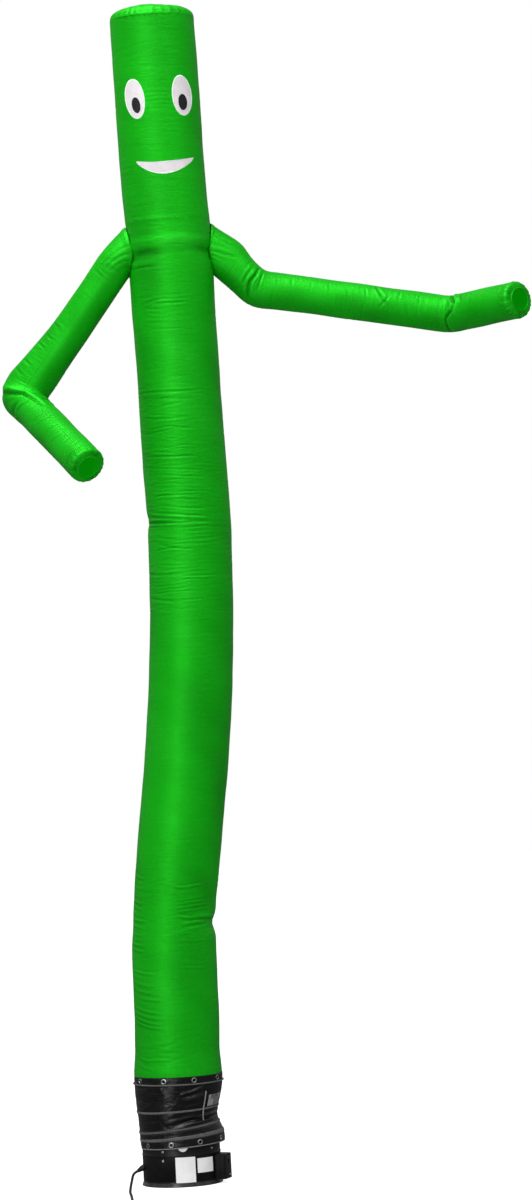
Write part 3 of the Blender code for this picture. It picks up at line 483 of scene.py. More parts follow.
def vinyl(name, stitches=(), dust=1.0):
    """Coated black fabric: a wet shine over a fine scrim, scuffs in patches, and a painted highlight paling the ridges.
    """
    k = Look(name)
    k.set(IOR=1.50, Specular_IOR_Level=0.44)
    u, v, uv = k.cloth()
    obj = k.place()
    cloud = k.noise(obj, 14.0, 4.0, 0.6)
    colour = k.mix(k.remap(cloud, 0.3, 0.7), (0.0022, 0.0022, 0.0024), (0.0048, 0.0048, 0.0050))
    fold = k.attribute("fold")
    # painted highlight: the ridges (fold above 0) are made paler
    colour = k.mix(k.remap(fold, 0.1, 0.9, 0.0, 0.4), colour, (0.016, 0.016, 0.017))
    scuff = k.remap(k.noise(k.stretch(obj, (60.0, 60.0, 9.0)), 1.0, 5.0, 0.7, 0.5), 0.62, 0.80, 0.0, 0.14 * dust)
    colour = k.mix(scuff, colour, (0.075, 0.075, 0.073))
    thread = None
    for at, pitch in stitches:
        row = k.dash(v, at, u, pitch, 0.0006)
        thread = row if thread is None else k.math("MAXIMUM", thread, row)
    if thread is not None:
        colour = k.mix(k.math("MULTIPLY", thread, 0.85), colour, (0.055, 0.055, 0.055))
    rough = k.remap(cloud, 0.3, 0.7, 0.13, 0.22)
    scrim_u = k.math("SINE", k.math("MULTIPLY", u, TAU / 0.0016))
    scrim_v = k.math("SINE", k.math("MULTIPLY", v, TAU / 0.0016))
    normal = k.bump(k.math("ADD", scrim_u, scrim_v), 0.10, 0.0001)
    creep = k.noise(k.stretch(obj, (26.0, 26.0, 44.0)), 1.0, 4.0, 0.6, 0.8)
    normal = k.bump(creep, 0.55, 0.0080, normal)
    if thread is not None:
        normal = k.bump(thread, 0.6, 0.0008, normal)
    return k.done(colour, rough, normal)


def webbing(name, rib=0.0021, low=0.060, high=0.105):
    """Woven strap: ribs across."""
    k = Look(name)
    k.set(IOR=1.45, Specular_IOR_Level=0.35, Sheen_Weight=0.05, Sheen_Roughness=0.5)
    u, v, uv = k.cloth()
    obj = k.place()
    rib_v = k.math("SINE", k.math("MULTIPLY", v, TAU / rib))
    rib_u = k.math("SINE", k.math("MULTIPLY", u, TAU / 0.0030))
    weave = k.math("MULTIPLY", rib_u, rib_v)
    cloud = k.noise(obj, 30.0, 3.0, 0.6)
    colour = k.mix(k.remap(cloud, 0.3, 0.7), (low, low, low * 1.02), (high, high, high * 1.01))
    colour = k.mix(k.remap(weave, 0.2, 1.0, 0.0, 0.5), colour, (high * 1.7, high * 1.7, high * 1.7))
    normal = k.bump(weave, 0.6, 0.0006)
    return k.done(colour, k.remap(cloud, 0.3, 0.7, 0.42, 0.58), normal)


def metal(name, colour, rough):
    k = Look(name)
    k.set(Metallic=1.0)
    obj = k.place()
    cloud = k.noise(obj, 160.0, 4.0, 0.7)
    scratch = k.noise(k.stretch(obj, (300.0, 300.0, 2200.0)), 1.0, 2.0)
    tone = k.mix(k.remap(cloud, 0.45, 0.75, 0.0, 0.5), colour, tuple(c * 0.55 for c in colour))
    normal = k.bump(scratch, 0.08, 0.0002)
    return k.done(tone, k.remap(cloud, 0.3, 0.7, rough, rough + 0.16), normal)


def plastic(name, low, high, rough, grain=900.0, coat=0.0):
    """Moulded plastic with a fine spark-eroded grain, rubbed shinier and paler in patches."""
    k = Look(name)
    k.set(IOR=1.49, Specular_IOR_Level=0.30, Coat_Weight=coat, Coat_Roughness=0.2)
    obj = k.place()
    cloud = k.noise(obj, 8.0, 4.0, 0.65)
    dust = k.remap(k.noise(obj, 55.0, 5.0, 0.7), 0.55, 0.8, 0.0, 0.35)
    colour = k.mix(k.remap(cloud, 0.35, 0.68), low, high)
    colour = k.mix(dust, colour, tuple(min(1.0, c * 2.2 + 0.012) for c in high))
    pits = k.noise(obj, grain, 2.0, 0.6)
    normal = k.bump(pits, 0.25, 0.0004)
    return k.done(colour, k.remap(cloud, 0.3, 0.7, rough, rough + 0.14), normal)


def paper(name):
    """A bare printed-paper label: a trace of grain, a little soiled in patches."""
    k = Look(name)
    k.set(IOR=1.45, Coat_Weight=0.15, Coat_Roughness=0.3)
    obj = k.place()
    cloud = k.noise(obj, 18.0, 4.0, 0.6)
    fibre = k.noise(obj, 1300.0, 3.0, 0.6)
    colour = k.mix(k.remap(cloud, 0.35, 0.7), (0.80, 0.80, 0.80), (0.88, 0.88, 0.875))
    colour = k.mix(k.remap(k.noise(obj, 70.0, 5.0, 0.7), 0.62, 0.85, 0.0, 0.35), colour, (0.62, 0.62, 0.60))
    normal = k.bump(fibre, 0.15, 0.0002)
    return k.done(colour, k.remap(cloud, 0.3, 0.7, 0.45, 0.6), normal)


RUBBER = plastic("look_rubber", (0.006, 0.006, 0.006), (0.013, 0.013, 0.013), 0.42, 700.0)
SHELL = plastic("look_blower", (0.0035, 0.0035, 0.0037), (0.0070, 0.0070, 0.0074), 0.30, 800.0, 0.0)
IRON = plastic("look_motor", (0.030, 0.030, 0.032), (0.060, 0.060, 0.062), 0.50, 400.0)
PAPER = paper("look_label")
STEEL = metal("look_steel", (0.62, 0.62, 0.63), 0.20)
WEB = webbing("look_webbing")

# ------------------------------------------------------------------ cord
CORD_D, CORD_LENGTH = 0.014, 1.83
COIL_R, COIL_AT, COIL_CLEAR, COIL_TURNS = 0.0840, (-0.1570, -1.025), 0.0660, 1.25
BARREL_R = 0.2095
GLAND = math.radians(192.0)
gland_at = Vector(((BARREL_R + 0.0012) * math.cos(GLAND), (BARREL_R + 0.0012) * math.sin(GLAND), 0.098))
gland_out = Vector((math.cos(GLAND), math.sin(GLAND), -0.55)).normalized()
CORD_EXIT = gland_at + gland_out * 0.0363
ROUTE = [
    tuple(CORD_EXIT), tuple(CORD_EXIT + gland_out * 0.030),
    (-0.2790, -0.135, 0.026), (-0.2860, -0.235, 0.0078), (-0.2780, -0.360, 0.0075), (-0.2580, -0.520, 0.0075),
    (-0.2470, -0.700, 0.0075), (-0.2420, -0.850, 0.0075), (COIL_AT[0] - COIL_R, COIL_AT[1] + COIL_CLEAR, 0.0075),
]


def through(points, n):
    """n points along a smooth curve through the given ones, evenly spaced."""
    pts = [Vector(p) for p in points]
    ends = [pts[0] * 2 - pts[1]] + pts + [pts[-1] * 2 - pts[-2]]
    fine = []
    for i in range(1, len(ends) - 2):
        p0, p1, p2, p3 = ends[i - 1 : i + 3]
        t1 = (p1 - p0).length ** 0.5
        t2 = t1 + (p2 - p1).length ** 0.5
        t3 = t2 + (p3 - p2).length ** 0.5
        for s in range(24):
            t = t1 + (t2 - t1) * s / 24
            a1 = p0 * ((t1 - t) / t1) + p1 * (t / t1)
            a2 = p1 * ((t2 - t) / (t2 - t1)) + p2 * ((t - t1) / (t2 - t1))
            a3 = p2 * ((t3 - t) / (t3 - t2)) + p3 * ((t - t2) / (t3 - t2))
            b1 = a1 * ((t2 - t) / t2) + a2 * (t / t2)
            b2 = a2 * ((t3 - t) / (t3 - t1)) + a3 * ((t - t1) / (t3 - t1))
            fine.append(b1 * ((t2 - t) / (t2 - t1)) + b2 * ((t - t1) / (t2 - t1)))
    fine.append(pts[-1])
    xyz = np.array([tuple(p) for p in fine])
    run = np.concatenate([[0], np.cumsum(np.linalg.norm(np.diff(xyz, axis=0), axis=1))])
    at = np.linspace(0, run[-1], n)
    return [Vector([float(np.interp(a, run, xyz[:, q])) for q in range(3)]) for a in at]


cord_path = through(ROUTE, 72)
used = sum((b - a).length for a, b in zip(cord_path, cord_path[1:])) + COIL_CLEAR
tail = CORD_LENGTH - used - TAU * COIL_R * COIL_TURNS
PLUG_X, PLUG_Y = COIL_AT[0] + tail, COIL_AT[1] - COIL_R
# it drops close to the foot and then runs forward
cord_path = through([
    tuple(CORD_EXIT), tuple(CORD_EXIT + gland_out * 0.022), (-0.2690, -0.125, 0.034), (-0.2735, -0.225, 0.0085), (-0.2700, -0.360, 0.0075),
    (-0.2580, -0.520, 0.0075), *ROUTE[6:],
], 72)
for q in range(1, 5):
    cord_path.append(Vector((COIL_AT[0] - COIL_R, COIL_AT[1] + COIL_CLEAR * (1 - q / 5), 0.0075)))
for q in range(0, 76):
    turned = 450.0 * q / 75
    a = math.radians(180.0 + turned)
    height = 0.0075 + 0.0148 * float(step(turned, 278.0, 336.0))
    cord_path.append(Vector((COIL_AT[0] + COIL_R * math.cos(a), COIL_AT[1] + COIL_R * math.sin(a), height)))
for x, z in ((0.018, 0.0220), (0.038, 0.0210), (0.066, 0.0195), (0.090, 0.0165), (0.112, 0.0142), (0.135, 0.0130)):
    if x < tail - 0.010:
        cord_path.append(Vector((COIL_AT[0] + x, PLUG_Y, z)))
cord_path.append(Vector((PLUG_X - 0.0003, PLUG_Y, 0.0125)))

curve = bpy.data.curves.new("power_lead", "CURVE")
curve.dimensions = "3D"
curve.bevel_depth = CORD_D / 2
curve.bevel_resolution = 5
curve.use_fill_caps = True
spline = curve.splines.new("POLY")
spline.points.add(len(cord_path) - 1)
for point, p in zip(spline.points, cord_path, strict=True):
    point.co = (*p, 1.0)
spline.use_smooth = True
cord = bpy.data.objects.new("power_lead", curve)
scene.collection.objects.link(cord)
curve.materials.append(RUBBER)
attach(cord, "root")
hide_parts("power_cord", "cord_tail", "cord_coil")

# ------------------------------------------------------------------ trunk, head and cap
SWAY_Y = 0.020
TUBE = np.array([
    # z      x       radius
    (0.585, 0.004, 0.2370), (0.72, 0.006, 0.2295), (0.90, 0.011, 0.2280), (1.25, 0.015, 0.2260), (1.40, 0.024, 0.2225),
    (1.50, 0.032, 0.2225), (1.65, 0.049, 0.2265), (1.90, 0.083, 0.2285), (2.30, 0.136, 0.2275), (2.70, 0.177, 0.2270),
    (3.10, 0.200, 0.2260), (3.50, 0.2095, 0.2245), (3.90, 0.200, 0.2250), (4.30, 0.193, 0.2230), (4.70, 0.184, 0.2245),
    (5.05, 0.180, 0.2270), (5.30, 0.166, 0.2280), (5.70, 0.156, 0.2280), (6.05, 0.150, 0.2265), (6.25, 0.145, 0.2255),
])
FOLDS = [
    # z     degrees  depth   high   round  climb
    (1.385, -8.0, 0.020, 0.045, 0.70, 0.00), (1.470, -40.0, 0.008, 0.050, 0.60, 0.05), (3.545, 180.0, 0.009, 0.040, 0.80, -0.03),
    (4.985, 214.0, 0.014, 0.050, 0.50, 0.00), (4.990, -18.0, 0.016, 0.050, 0.45, 0.00), (0.700, 60.0, 0.006, 0.060, 0.80, 0.00),
]
RIGHT_ARM_DEG, LEFT_ARM_DEG, ARM_Z = 11.0, 178.0, 5.005
SEAM_SLEEVE_Z, SEAM_NECK_Z, SEAM_CAP_Z = 0.5855, 5.1558, 6.250
GIRTH = 1.424

# the creases seen on the front: ends as (height, degrees), depth, half width
CREASES = [
    (4.2401, -158.0, 4.2290, -70.0, 0.0019, 0.0060), (4.1440, -128.0, 4.1685, -84.0, 0.0013, 0.0060),
    (4.1193, -140.0, 4.0930, -78.0, 0.0013, 0.0050), (4.0974, -152.0, 4.0865, -80.0, 0.0017, 0.0060),
    (4.0449, -106.0, 4.0260, -64.0, 0.0010, 0.0050), (3.9970, -124.0, 3.9767, -96.0, 0.0010, 0.0050),
    (3.9247, -138.0, 3.8933, -92.0, 0.0014, 0.0050), (3.8967, -162.0, 3.8830, -72.0, 0.0020, 0.0060),
    (3.8390, -164.0, 3.8048, -60.0, 0.0013, 0.0050), (3.7943, -132.0, 3.7672, -62.0, 0.0019, 0.0050),
    (3.7351, -154.0, 3.7266, -116.0, 0.0012, 0.0050), (3.6841, -148.0, 3.6752, -68.0, 0.0013, 0.0050),
    (3.6615, -108.0, 3.6462, -68.0, 0.0014, 0.0050), (3.6284, -134.0, 3.5978, -64.0, 0.0016, 0.0050),
    (3.6036, -160.0, 3.5566, -62.0, 0.0020, 0.0060), (3.5764, -166.0, 3.5307, -58.0, 0.0030, 0.0070),
    (3.5438, -172.0, 3.5273, -60.0, 0.0032, 0.0070), (3.5285, -190.0, 3.5298, -104.0, 0.0036, 0.0058), (3.5240, -186.0, 3.5150, -132.0, 0.0026, 0.0055), (3.5360, -188.0, 3.5420, -96.0, 0.0030, 0.0055),
    (3.4621, -142.0, 3.4351, -100.0, 0.0013, 0.0060), (3.4263, -142.0, 3.3908, -100.0, 0.0013, 0.0060),
    (3.3153, -142.0, 3.2934, -84.0, 0.0013, 0.0050), (3.2706, -176.0, 3.2506, -98.0, 0.0020, 0.0060),
    (3.1483, -178.0, 3.1090, -106.0, 0.0022, 0.0065), (3.2248, -160.0, 3.2029, -112.0, 0.0009, 0.0050),
    (3.0878, -162.0, 3.0608, -106.0, 0.0010, 0.0050), (4.1966, -134.0, 4.1904, -96.0, 0.0009, 0.0050),
    (3.9483, -106.0, 3.9330, -56.0, 0.0009, 0.0050), (3.7457, -116.0, 3.7309, -84.0, 0.0009, 0.0050),
    (1.6004, -92.0, 1.5866, -74.0, -0.0029, 0.0051), (1.5866, -77.0, 1.5976, -50.0, -0.0029, 0.0051),
    (1.5156, -84.0, 1.5343, -42.0, -0.0014, 0.0051), (1.5006, -86.0, 1.5126, -36.0, -0.0018, 0.0051),
    (1.4776, -86.0, 1.4916, -30.0, -0.0019, 0.0051), (1.4600, -86.0, 1.4679, -28.0, -0.0021, 0.0051),
    (1.4400, -86.0, 1.4214, -56.0, -0.0034, 0.0059), (1.4214, -62.0, 1.4096, -10.0, 0.0031, 0.0080),
    (1.4159, -76.0, 1.4112, 4.0, 0.0032, 0.0085), (1.3757, -80.0, 1.3985, -6.0, 0.0034, 0.0080),
    (1.3123, -84.0, 1.3013, -46.0, -0.0018, 0.0043), (1.1701, -84.0, 1.1552, -30.0, -0.0016, 0.0043),
    (1.5333, -172.0, 1.5085, -139.0, -0.0034, 0.0059), (1.5025, -172.0, 1.4754, -138.0, -0.0025, 0.0059),
    (1.4335, -172.0, 1.4148, -132.0, -0.0037, 0.0059), (1.4009, -172.0, 1.3794, -134.0, -0.0025, 0.0059),
    (1.3040, -172.0, 1.2859, -132.0, -0.0025, 0.0059), (1.2779, -172.0, 1.2521, -132.0, -0.0025, 0.0059),
    (1.3546, -172.0, 1.3411, -134.0, -0.0019, 0.0059), (1.1579, -166.0, 1.1320, -116.0, -0.0030, 0.0059),
    (1.1019, -168.0, 1.0707, -121.0, -0.0030, 0.0059), (1.0595, -164.0, 1.0337, -120.0, -0.0037, 0.0059),
    (1.0174, -154.0, 0.9928, -104.0, -0.0030, 0.0059), (0.9681, -170.0, 0.9243, -110.0, -0.0033, 0.0059),
    (0.9380, -166.0, 0.8952, -110.0, -0.0027, 0.0059), (0.9080, -162.0, 0.8629, -110.0, -0.0046, 0.0059),
    (0.8850, -162.0, 0.8444, -109.0, -0.0051, 0.0059), (0.6920, -152.0, 0.6759, -126.0, -0.0037, 0.0051),
    (0.6759, -134.0, 0.6763, -96.0, -0.0034, 0.0051), (0.6569, -150.0, 0.6303, -124.0, -0.0030, 0.0059),
    (1.6631, -166.0, 1.6409, -138.0, -0.0027, 0.0059), (1.6015, -164.0, 1.5870, -138.0, -0.0019, 0.0059),
    (4.7050, -136.0, 4.7278, -100.0, 0.0019, 0.0060), (4.7278, -108.0, 4.7274, -68.0, 0.0013, 0.0060),
    (4.7082, -122.0, 4.7060, -68.0, 0.0018, 0.0060), (4.6844, -136.0, 4.6741, -96.0, 0.0009, 0.0050),
    (4.6562, -126.0, 4.6475, -96.0, 0.0008, 0.0050), (4.6307, -126.0, 4.6219, -98.0, 0.0009, 0.0050),
    (4.6122, -138.0, 4.6011, -104.0, 0.0007, 0.0050), (4.5731, -124.0, 4.5643, -76.0, 0.0010, 0.0050),
    (4.8986, -154.0, 4.9023, -112.0, 0.0011, 0.0060),
    # round the back, as the same bends pinch there
    (3.5400, 150.0, 3.5700, 96.0, 0.0029, 0.0080), (3.5050, 156.0, 3.4800, 110.0, 0.0022, 0.0070), (1.4300, 46.0, 1.3900, -6.0, 0.0032, 0.0080),
    (1.3600, 40.0, 1.3800, -8.0, 0.0022, 0.0070), (1.4900, 52.0, 1.4600, 6.0, 0.0018, 0.0070), (4.7000, 60.0, 4.7200, 112.0, 0.0013, 0.0065),
    (2.6000, 70.0, 2.5700, 120.0, 0.0020, 0.0065), (2.1500, 36.0, 2.1800, 88.0, 0.0020, 0.0065), (0.7100, 30.0, 0.6900, 84.0, 0.0030, 0.0075),
]


def tube(angle, z, off=0.0):
    x, r = smooth(TUBE, 1, z), smooth(TUBE, 2, z)
    y = SWAY_Y * np.sin(np.pi * np.clip((z - 0.6) / 5.6, 0, 1))
    for fz, fa, depth, high, wide, climb in FOLDS:
        da = turn(angle - math.radians(fa))
        r = r - depth * np.exp(-(((z - fz - climb * da) / high) ** 2)) * np.exp(-((da / wide) ** 2))
    r = r + off
    return np.stack([x + r * np.cos(angle), y + r * np.sin(angle), z + 0 * angle], -1)


def trunk_folds(angle, z):
    """How far the blown cloth of the trunk stands in or out of its even tube."""
    out = np.zeros(angle.shape)
    for za, da, zb, db, depth, width in CREASES:
        mid = math.radians((da + db) / 2)
        around = turn(angle - mid) * 0.2265
        half = math.radians((db - da) / 2) * 0.2265
        near = (np.abs(around) < abs(half) + 0.03) & (z > min(za, zb) - 0.06) & (z < max(za, zb) + 0.06)
        if near.any():
            bow = -0.0035 if za > zb else 0.0035
            line = [(-half, za), (-half * 0.35, za + (zb - za) * 0.325 + bow), (half * 0.35, za + (zb - za) * 0.675 + bow), (half, zb)]
            out[near] += crease(around[near], z[near], line, depth, width, 0.70)
    # the cloth hangs over in one soft roll between the arms, with a hollow below it at each side
    da = turn(angle + math.pi / 2)
    roll = 5.062 - 0.010 * (da / 1.1) ** 2
    back = 0.45 + 0.55 * np.exp(-((da / 1.5) ** 4))
    out += 0.0048 * back * step(z, roll - 0.110, roll - 0.022) * (1 - step(z, roll - 0.022, roll + 0.022))
    hollow_left = np.exp(-((turn(angle - math.radians(-136)) / 0.42) ** 2))
    hollow_right = np.exp(-((turn(angle - math.radians(-34)) / 0.36) ** 2))
    out -= (0.0095 * hollow_left + 0.0060 * hollow_right + 0.0016) * np.exp(-(((z - 4.983 - 0.012 * np.sin(da)) / 0.0250) ** 2)) * back
    out -= 0.0030 * hollow_left * np.exp(-(((z - 4.905) / 0.010) ** 2))
    return out


def broad_lumps(angle, z, amount=0.0016):
    out = np.zeros(angle.shape)
    for k, (n, w, ph) in enumerate(((2, 2.3, 0.4), (3, 3.9, 1.9), (1, 6.1, 2.8), (4, 8.5, 0.9), (5, 12.7, 4.1), (2, 16.3, 5.0))):
        out += np.sin(n * angle + w * z + ph) * np.cos(1.3 * w * z + 2.1 * ph + 0.7 * np.sin(angle)) / (1 + 0.35 * k)
    return out * amount


def spaced_angles(count, extra=()):
    """Angles round from the back seam, with a few more beside it."""
    a = [TAU * k / count for k in range(count)]
    a += [x for x in extra]
    return np.array(sorted(a)) + math.pi / 2


BACK = (0.010, 0.020, 0.034, TAU - 0.010, TAU - 0.020, TAU - 0.034)


def back_seam(angle):
    """The tube's own seam runs up the back: a lapped fell 11 mm wide."""
    da = turn(angle - math.pi / 2) * 0.2265
    return 0.0016 * (step(da, -0.0070, -0.0045) - step(da, 0.0040, 0.0062))


def hole_rim(A, Z, centre_deg, half_deg, half_z, centre_z):
    """Pulls the grid onto an oval opening; says which faces go."""
    qa = turn(A - math.radians(centre_deg)) / math.radians(half_deg)
    qz = (Z - centre_z) / half_z
    rho = np.hypot(qa, qz)
    inside = rho < 1.0
    corner = inside & np.roll(inside, -1, axis=1)
    gone = corner[:-1] & corner[1:]
    push = inside & (rho > 1e-6)
    scale = np.where(push, 1.0 / np.maximum(rho, 1e-6), 1.0)
    A2 = math.radians(centre_deg) + qa * scale * math.radians(half_deg)
    Z2 = centre_z + qz * scale * half_z
    return np.where(push, A2, A), np.where(push, Z2, Z), gone


def trunk():
    angles = spaced_angles(120, BACK)

    def spacing(z):
        if 3.04 < z < 4.27:
            return 0.0046
        if 4.54 < z < 5.16:
            return 0.0050
        if 1.10 < z < 1.70:
            return 0.0058
        if z < 1.10:
            return 0.0072
        return 0.0115

    heights = rows_between(SEAM_SLEEVE_Z + 0.0005, SEAM_NECK_Z - 0.0003, spacing)
    A, Z = np.meshgrid(angles, heights)
    A, Z, gone_right = hole_rim(A, Z, RIGHT_ARM_DEG, 20.5, 0.120, ARM_Z)
    A, Z, gone_left = hole_rim(A, Z, LEFT_ARM_DEG, 20.5, 0.120, ARM_Z)
    folds = trunk_folds(A, Z)
    around = ((A - math.pi / 2) % TAU) * GIRTH / TAU
    left = np.exp(-((turn(A - math.radians(-125)) / 0.9) ** 2))

    def middle(a0, z0):
        da = turn(a0 / GIRTH * TAU + math.pi / 2 + math.radians(122))
        return 1.0 if abs(da) < 1.0 else 0.35

    folds += fine_folds(around, Z, GIRTH, 11, 460, 3.05, 4.36, (0.07, 0.26), (0.0008, 0.0020), (0.0036, 0.0052), 0.035, middle)
    folds += fine_folds(around, Z, GIRTH, 16, 130, 4.22, 4.95, (0.07, 0.22), (0.0003, 0.0008), (0.0042, 0.0062), 0.035, middle)
    folds += fine_folds(around, Z, GIRTH, 17, 150, 2.20, 3.10, (0.06, 0.22), (0.0002, 0.0007), (0.0060, 0.0085), 0.040, middle)
    folds += fine_folds(around, Z, GIRTH, 12, 120, 0.62, 5.12, (0.08, 0.26), (0.0004, 0.0011), (0.0060, 0.0110), 0.12)
    folds += fine_folds(around, Z, GIRTH, 13, 46, 1.15, 1.66, (0.04, 0.13), (0.0005, 0.0013), (0.0050, 0.0075), 0.22)
    folds += fine_folds(around, Z, GIRTH, 14, 34, 0.60, 0.80, (0.04, 0.12), (0.0005, 0.0014), (0.0050, 0.0080), 0.18)
    folds += fine_folds(around, Z, GIRTH, 15, 46, 4.58, 5.13, (0.04, 0.13), (0.0004, 0.0012), (0.0042, 0.0065), 0.12)
    # small gathers where the cloth is sewn into the sleeve
    low = np.exp(-((Z - 0.585) / 0.022) ** 1.0)
    folds += 0.0011 * low * (np.sin(41 * A + 1.2 * np.sin(5 * A)) + 0.6 * np.sin(67 * A + 2.0))
    # the tucks that the arms' seams pull into the cloth round them
    for deg in (RIGHT_ARM_DEG, LEFT_ARM_DEG):
        qa = turn(A - math.radians(deg)) / math.radians(25.0)
        qz = (Z - ARM_Z) / 0.139
        rho, th = np.hypot(qa, qz), np.arctan2(qz, qa)
        folds += -0.0022 * np.exp(-(((rho - 1.02) / 0.07) ** 2)) + 0.0013 * np.exp(-(((rho - 1.17) / 0.12) ** 2)) * np.sin(17 * th + 3 * np.sin(2 * th))
    folds += broad_lumps(A, Z, 0.0013)
    top = np.exp(-(((Z - SEAM_NECK_Z) / 0.016) ** 2))
    P = tube(A, Z, folds * (1 - top) + back_seam(A) + 0.0006 * top)
    rings = np.concatenate([(angles - math.pi / 2) * GIRTH / TAU, [GIRTH]])
    return grid(
        "trunk_cloth", P, rings, Z[:, :1], fold=folds / 0.0050, keep=~(gone_right | gone_left),
        look=nylon(
            "look_trunk", [(SEAM_NECK_Z - 0.0045, 0.0042), (SEAM_NECK_Z - 0.0105, 0.0042), (0.5965, 0.0042), (0.6035, 0.0042)],
            [(0.0036, 0.0042), (GIRTH - 0.0030, 0.0042)],
        ),
        slot="green_nylon", replaces=["trunk"],
    )


def head_folds(A, Z):
    around = ((A - math.pi / 2) % TAU) * GIRTH / TAU
    folds = fine_folds(around, Z, GIRTH, 21, 60, 5.20, 6.22, (0.08, 0.26), (0.0003, 0.0009), (0.0070, 0.0120), 0.10)
    folds += fine_folds(around, Z, GIRTH, 22, 26, 5.16, 5.24, (0.05, 0.12), (0.0004, 0.0010), (0.0050, 0.0070), 0.10)
    for z0, a0, a1, d in ((5.828, -112, -74, 0.0011), (5.806, -108, -70, 0.0009), (5.784, -110, -66, 0.0013), (5.764, -104, -72, 0.0009), (5.742, -112, -80, 0.0010),
                          (5.700, -106, -84, 0.0007), (5.470, -158, -134, 0.0011), (5.440, -156, -128, 0.0013), (5.405, -158, -138, 0.0009), (5.355, -150, -120, 0.0008)):
        mid, half = math.radians((a0 + a1) / 2), math.radians((a1 - a0) / 2) * 0.2265
        x = turn(A - mid) * 0.2265
        near = (np.abs(Z - z0) < 0.04) & (np.abs(x) < half + 0.02)
        if near.any():
            folds[near] += crease(x[near], Z[near], [(-half, z0 - 0.003), (0.0, z0 + 0.003), (half, z0 - 0.001)], d, 0.0060, 0.8)
    folds += broad_lumps(A, Z, 0.0011)
    rim = np.exp(-((6.250 - Z) / 0.016) ** 1.0)
    folds += rim * (0.0010 * np.sin(37 * A + 1.6 * np.sin(4 * A)) + 0.0007 * np.sin(59 * A))
    return folds * (1 - np.exp(-(((Z - SEAM_NECK_Z) / 0.016) ** 2)))


def head():
    angles = spaced_angles(124, BACK)
    heights = rows_between(SEAM_NECK_Z, SEAM_CAP_Z, lambda z: 0.0026 if z < 5.180 else (0.0045 if z > 6.225 else 0.0085))
    A, Z = np.meshgrid(angles, heights)
    folds = head_folds(A, Z)
    P = tube(A, Z, folds + back_seam(A) + 0.0006)
    rings = np.concatenate([(angles - math.pi / 2) * GIRTH / TAU, [GIRTH]])
    return grid(
        "head_cloth", P, rings, Z[:, :1], fold=folds / 0.0050,
        look=nylon("look_head", [(SEAM_NECK_Z + 0.0045, 0.0042), (SEAM_CAP_Z - 0.0060, 0.0042)], [(0.0036, 0.0042), (GIRTH - 0.0030, 0.0042)]),
        slot="green_nylon", replaces=["head"],
    )


def cap():
    """The flat disc that closes the head, blown into a shallow dome and gathered at its sewn rim."""
    count = 168
    a = np.arange(count) * TAU / count
    profile = np.array([
        # share  rise
        (1.004, 0.0000), (1.006, 0.0050), (1.000, 0.0105), (0.992, 0.0165), (0.980, 0.0240), (0.962, 0.0310), (0.938, 0.0378), (0.905, 0.0440),
        (0.862, 0.0496), (0.808, 0.0548), (0.745, 0.0594), (0.672, 0.0634), (0.592, 0.0668), (0.506, 0.0696), (0.416, 0.0718), (0.322, 0.0735),
        (0.226, 0.0746), (0.130, 0.0752), (0.050, 0.0755),
    ])
    A = np.broadcast_to(a, (len(profile), count))
    share, rise = profile[:, :1], profile[:, 1:]
    cx, r = smooth(TUBE, 1, np.array(SEAM_CAP_Z)), smooth(TUBE, 2, np.array(SEAM_CAP_Z))
    gather = np.exp(-((np.clip(1.0 - share, 0, 1) / 0.11) ** 1.3))
    wave = np.sin(33 * A + 2.2 * np.sin(3 * A)) + 0.7 * np.sin(52 * A + 1.4 * np.sin(5 * A) + 1.0) + 0.4 * np.sin(87 * A)
    lift = 0.0015 * gather * wave * step(rise, 0.0, 0.012)
    pull = 0.0013 * np.sin(19 * A + 1.5 * np.sin(2 * A)) * np.exp(-(((share - 0.72) / 0.22) ** 2))
    soft = 0.0016 * np.sin(3 * A + 1.0) * share * (1 - share) * 4 + 0.0012 * np.sin(5 * A + 4.0) * share * (1 - share) * 4
    rad = r * share + lift * 0.9
    P = np.stack([cx + rad * np.cos(A), rad * np.sin(A), SEAM_CAP_Z + 0.0005 + rise + (lift * 0.8 + pull + soft) * (1 - 0.0 * share)], -1)
    tip = np.array([float(cx), 0.0, SEAM_CAP_Z + 0.0765])
    P = np.concatenate([P, np.broadcast_to(tip + np.array([0, 0, 0.0]), (1, count, 3)) + 0.0012 * np.stack([np.cos(a), np.sin(a), 0 * a], -1)[None]], 0)
    fold = np.concatenate([lift + pull, np.zeros((1, count))], 0) / 0.0028
    inward = np.concatenate([(1 - profile[:, 0]) * r, [r]])
    o = grid(
        "cap_cloth", P, np.arange(count + 1) * GIRTH / count, inward.reshape(-1, 1) + SEAM_CAP_Z, fold=fold,
        look=nylon("look_cap", [(SEAM_CAP_Z + 0.0045, 0.0042)]), slot="green_nylon", replaces=["head_cap"],
    )
    bm = bmesh.new()
    bm.from_mesh(o.data)
    bmesh.ops.holes_fill(bm, edges=[e for e in bm.edges if e.is_boundary and all(v.co.z > SEAM_CAP_Z + 0.07 for v in e.verts)], sides=0)
    bm.to_mesh(o.data)
    bm.free()
    return o


trunk_cloth = trunk()
head_cloth = head()
cap_cloth = cap()


# ------------------------------------------------------------------ face, sewn on the head's front
def on_head(x, z, off):
    c, r = smooth(TUBE, 1, z), smooth(TUBE, 2, z)
    a = -np.arccos(np.clip((x - c) / r, -0.999, 0.999))
    return tube(a, z, off + head_folds(a, z) * 0.8)


